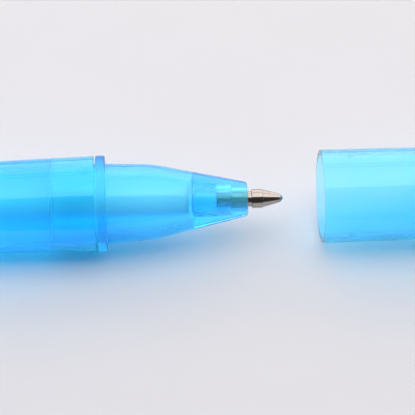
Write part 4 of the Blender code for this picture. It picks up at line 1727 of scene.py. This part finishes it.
@dataclass
class Switch(Assembly):
    """The button in the cap's wall and the springy leaf below it."""

    centre: float = 29.85
    length: float = 5.0
    width: float = 3.0
    top: float = 6.12
    top_round: float = 0.35
    rim: float = 0.3
    dish: float = 0.14
    dish_ramp: float = 0.1
    lip_bottom: float = 3.975
    lip_top: float = 4.325
    lip_half_width: float = 1.95
    lip: float = 0.45
    skirt: float = 0.3
    can_top: float = 3.6
    channel_roof: float = 4.58
    nub_centre: float = 28.25
    nub_length: float = 0.8
    nub_width: float = 1.0
    nub_bottom: float = 4.33
    rib_count: int = 5
    rib_pitch: float = 0.62
    rib_width: float = 0.28
    rib_length: float = 1.5
    rib_root: float = 0.05
    rib_shoulder: float = 0.06
    rib_crown: float = 0.04
    leaf_front: float = 27.45
    leaf_rear: float = 39.51
    leaf_bottom: float = 4.13
    leaf_thickness: float = 0.15
    leaf_width: float = 2.0
    leaf_round: float = 0.55
    leaf_steps: int = 160
    leaf_rows: int = 20
    leaf_crowding: float = 1.5
    dimple_radius: float = 0.5
    dimple_depth: float = 0.055

    def button_mesh(self) -> Mesh:
        """Makes the button: dished ribbed top, side lips, channel for the leaf and nub.

        Returns:
            The button's mesh.
        """
        edge = self.top_round
        shoulder = arc((0.0, self.top - edge), edge, 0.0, pi / 2, steps=8)
        rings = [
            (0.0, self.lip_bottom), *[(edge - inset, height) for inset, height in shoulder],
            (edge + self.rim, self.top), (edge + self.rim + self.dish_ramp, self.top - self.dish),
        ]
        points: list[Place] = []
        for inset, height in rings:
            outline = stadium(self.centre, self.length - 2 * inset, self.width - 2 * inset, steps=24)
            points += [(x, y, height) for x, y in outline]
        faces = loft_faces(len(points) // len(rings), len(rings))
        mesh = smooth(new_mesh(points, faces, finish=self.finishes.white))
        reach = (self.length - self.width) / 2 + self.lip
        lips = rectangle(self.centre - reach, self.centre + reach, self.lip_bottom, self.lip_top)
        mesh = combined(mesh, Joining.ADD, prism(lips, -self.lip_half_width, self.lip_half_width, Along.Y))
        half = self.width / 2 - self.skirt
        channel = rectangle(-half, half, self.can_top, self.channel_roof)
        ends = (self.centre - self.length, self.centre + self.length)
        mesh = combined(mesh, Joining.CUT, prism(channel, *ends, Along.X))
        rear = self.nub_centre - self.nub_length / 2
        nub = rectangle(rear, rear + self.nub_length, self.nub_bottom, self.top - edge)
        mesh = combined(mesh, Joining.ADD, prism(nub, -self.nub_width / 2, self.nub_width / 2, Along.Y))
        return smooth(combined(mesh, Joining.ADD, self.rib_mesh()))

    def rib_mesh(self) -> Mesh:
        """Makes the row of grip ribs in the button's dish.

        Returns:
            The ribs' mesh.
        """
        half = self.rib_width / 2
        floor = self.top - self.dish - self.rib_root
        side = self.top - self.rib_shoulder
        crown = bend((-half, side), (0.0, self.top + self.rib_crown), (half, side), steps=6)
        section = [(-half, floor), *crown, (half, floor)]
        rib = prism(section, -self.rib_length / 2, self.rib_length / 2, Along.Y)
        start = (self.centre - self.rib_pitch * (self.rib_count - 1) / 2, 0.0, 0.0)
        pitch = (self.rib_pitch, 0.0, 0.0)
        return self.trees.ribs.run(rib, self.finishes.white, Count=self.rib_count, Start=start, Pitch=pitch)

    def leaf_points(self) -> list[Place]:
        """Lays out the leaf's lower and upper face, with a round front and a pressed contact dimple.

        Returns:
            The points, row by row from the front, the lower face first.
        """
        span = self.leaf_rear - self.leaf_front
        points: list[Place] = []
        for side in (0.0, self.leaf_thickness):
            for i in range(self.leaf_steps + 1):
                x = self.leaf_front + span * (i / self.leaf_steps) ** self.leaf_crowding
                cut = max(self.leaf_round - (x - self.leaf_front), 0.0)
                half = self.leaf_width / 2 - self.leaf_round + sqrt(max(self.leaf_round**2 - cut**2, 0.0))
                for j in range(self.leaf_rows + 1):
                    y = half * (2 * j / self.leaf_rows - 1)
                    away = hypot(x - self.nub_centre, y) / self.dimple_radius
                    drop = self.dimple_depth * (1 + cos(pi * min(away, 1.0))) / 2
                    points.append((x, y, self.leaf_bottom + side - drop))
        return points

    def leaf_mesh(self) -> Mesh:
        """Makes the springy strip.

        Returns:
            The strip's mesh.
        """
        along, across = self.leaf_steps, self.leaf_rows
        row = across + 1
        layer = (along + 1) * row
        faces = []
        for i in range(along):
            for k in range(i * row, i * row + across):
                faces.append((k, k + 1, k + row + 1, k + row))
                faces.append((layer + k, layer + k + row, layer + k + row + 1, layer + k + 1))
        rim = [*range(row), *[i * row + across for i in range(1, along + 1)]]
        rim += [along * row + j for j in range(across - 1, -1, -1)]
        rim += [i * row for i in range(along - 1, 0, -1)]
        faces += [(a, layer + a, layer + b, b) for a, b in zip(rim, rim[1:] + rim[:1])]
        return smooth(new_mesh(self.leaf_points(), faces, finish=self.finishes.bronze))

    def build(self) -> None:
        """Makes the button and the leaf."""
        self.put("lamp_button", self.button_mesh(), Body.BUTTON, Slot.WHITE, "switch_button")
        self.put("switch_leaf", self.leaf_mesh(), Body.LEAF, Slot.BRONZE, "contact_leaf")


@dataclass
class Studio:
    """The table, the soft lights above it and the camera, in metres and degrees."""

    collar: Vector
    trees: Trees
    aim_front: float = 12.27 * MM
    picture: float = 415.0
    focal: float = 1803.0
    sensor: float = 36.0
    clip_span: Span = (0.01, 20.0)
    distance: float = 0.2183
    elevation: float = 43.0
    yaw: float = 2.02
    drop: float = 0.00089
    table_tint: Colour = (0.77, 0.745, 0.77)
    table_radius: float = 3.0
    table_rim: float = 0.5
    table_sink: float = 0.00002
    table_sides: int = 96
    # Painted blue light on the table: emission per clear surface it is seen through, up to a number of
    # surfaces, and a painted pool of blue light within a reach of the pieces.
    painted_table_lift: float = 0.2
    painted_lift_surfaces: float = 9.0
    painted_table_glow: float = 0.24
    painted_glow_reach: float = 0.016
    lamp_distance: float = 1.3
    lamp_length: float = 5.0
    key_span: Span = (63.0, 116.0)
    strip_span: Span = (119.5, 125.0)
    back_span: Span = (128.5, 174.0)
    key_glow: float = 1.47
    back_glow: float = 1.51
    # A dark card that shows in reflections alone, a painted dark reflection of the shaded camera side.
    card_near: float = 0.024
    card_far: float = 1.4
    card_height: float = 0.0004
    card_top: float = 61.0
    card_matt: float = 0.8
    card_dark: Colour = (0.05, 0.042, 0.036)
    card_pale: Colour = (0.07, 0.06, 0.05)
    card_scale: Place = (30.0, 30.0, 30.0)
    card_detail: float = 3.0
    room_tint: Colour = (0.95, 0.96, 1.0)
    room_dim: float = 0.12
    room_shine: float = 0.25
    room_pale: float = 1.0
    bounces: int = 32

    @property
    def aim(self) -> Vector:
        """Returns the point that the camera and the lights are set round."""
        return self.collar + Vector((self.aim_front, 0.0, 0.0))

    def table(self) -> None:
        """Makes the pale sheet, which curves up far behind everything and carries painted blue light."""
        rim = self.table_rim
        section = [(0.0, 0.0), *arc((self.table_radius, rim), rim, -pi / 2, 0.0, steps=12)]
        line = line_mesh([(z - self.table_sink, 0.0, radius) for radius, z in section])
        # The sheet's painted blue light.
        painted_light = (self.painted_table_lift, self.painted_lift_surfaces, self.painted_table_glow, self.painted_glow_reach)
        paper = Paper("pale_sheet", self.table_tint, *painted_light).material()
        mesh = self.trees.lathe.run(line, paper, Sides=self.table_sides)
        mesh.transform(Matrix.Rotation(-pi / 2, 4, "Y"))
        mesh.shade_smooth()
        linked("table_sheet", mesh)

    def card(self) -> None:
        """Stands a dark card before the pen, out of the picture, that shows in reflections alone, as a
        painted dark reflection of the shaded camera side.
        """
        shading = Shading("dark_reflection_card")
        shading.set(Roughness=self.card_matt)
        cloud = shading.noise(self.card_scale, self.card_detail)
        shading.colours(cloud, self.card_dark, self.card_pale)
        aim = self.aim
        low = self.card_height - aim.z
        top = pi - radians(self.card_top)
        section = [(-self.card_near, low), *arc((0.0, low), self.card_far, pi, top, steps=24)]
        half = self.lamp_length / 2
        corners = [aim + Vector((x, y, z)) for y, z in section for x in (-half, half)]
        faces = [(k, k + 1, k + 3, k + 2) for k in range(0, len(corners) - 2, 2)]
        card = linked("dark_reflection_card", new_mesh(corners, faces, finish=shading.material))
        # Only glossy rays see it, so it paints a dark reflection and casts no shadow.
        for kind in ("camera", "diffuse", "transmission", "volume_scatter", "shadow"):
            setattr(card, f"visible_{kind}", False)

    def softbox(self, name: str, span: Span, glow: float) -> None:
        """Hangs a long soft light of one brightness.

        Args:
            name: the light's name.
            span: the angles that it lies between, from the front table edge.
            glow: its brightness.
        """
        middle = radians(sum(span) / 2)
        half = radians((span[1] - span[0]) / 2)
        data = bpy.data.lights.new(name, "AREA")
        data.shape = "RECTANGLE"
        data.size = self.lamp_length
        data.size_y = 2 * self.lamp_distance * tan(half)
        data.energy = glow * pi * data.size * data.size_y
        place = self.aim + Vector((0.0, -cos(middle), sin(middle))) * self.lamp_distance
        turn = Matrix.Rotation(middle - pi / 2, 4, Vector((-1.0, 0.0, 0.0)))
        lamp = linked(name, data)
        lamp.matrix_world = Matrix.Translation(place) @ turn
        lamp.visible_camera = False

    def world(self) -> None:
        """Gives a dim room, which is pale where it is seen directly, in metal or through clear pieces."""
        world = bpy.data.worlds.new("room")
        world.use_nodes = True
        nodes = Nodes(world.node_tree)
        path = nodes.add("ShaderNodeLightPath")
        clear = nodes.maths("MAXIMUM", (path, "Is Camera Ray"), (path, "Is Transmission Ray"))
        shiny = nodes.maths("MULTIPLY", (path, "Is Glossy Ray"), self.room_shine)
        pale = nodes.maths("MAXIMUM", clear, shiny)
        levels = {"Value": pale, "To Min": self.room_dim, "To Max": self.room_pale}
        back = world.node_tree.nodes["Background"]
        nodes.feed(back.inputs["Color"], (*self.room_tint, 1.0))
        nodes.feed(back.inputs["Strength"], nodes.add("ShaderNodeMapRange", levels))
        bpy.context.scene.world = world

    def camera(self) -> None:
        """Sets the camera where the photograph was taken from."""
        tilt = radians(self.elevation)
        yaw = radians(self.yaw)
        back = Vector((-sin(yaw), -cos(yaw) * cos(tilt), cos(yaw) * sin(tilt)))
        right = (-back).cross(Vector((0.0, 0.0, 1.0))).normalized()
        up = back.cross(right)
        data = bpy.data.cameras.new("camera")
        data.sensor_width = self.sensor
        data.lens = data.sensor_width * self.focal / self.picture
        data.clip_start, data.clip_end = self.clip_span
        camera = linked("camera", data)
        place = self.aim - up * self.drop + back * self.distance
        turn = Matrix((right, up, back)).transposed().to_4x4()
        camera.matrix_world = Matrix.Translation(place) @ turn
        bpy.context.scene.camera = camera

    def build(self) -> None:
        """Makes the table, the lights, the room and the camera."""
        self.table()
        self.card()
        self.softbox("key_softbox", self.key_span, self.key_glow)
        self.softbox("strip_softbox", self.strip_span, self.key_glow)
        self.softbox("back_softbox", self.back_span, self.back_glow)
        self.world()
        self.camera()
        scene = bpy.context.scene
        scene.view_settings.view_transform = "Standard"
        for kind in ("max", "diffuse", "glossy", "transmission"):
            setattr(scene.cycles, f"{kind}_bounces", self.bounces)


def main() -> None:
    """Builds the pen, its cap and the studio."""
    logging.basicConfig(level=logging.INFO, format="%(name)s: %(message)s")
    trees = Trees()
    finishes = Finishes()

    nose_low, nose_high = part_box("nose_section")
    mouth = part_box("cap_shell")[0].x
    middle = (nose_low + nose_high) / 2
    pen_axis = Axis(Vector((nose_high.x - PenBody.nose_length * MM, middle.y, middle.z)))
    cap_axis = Axis(Vector((mouth, middle.y, middle.z)), CapShell.roll(middle.z / MM))

    for kind in (PenBody, Refill, WritingPoint):
        kind(pen_axis, trees, finishes).build()
    for kind in (CapShell, LampUnit, Switch):
        kind(cap_axis, trees, finishes).build()
    Studio(pen_axis.place, trees).build()


if __name__ == "__main__":
    main()
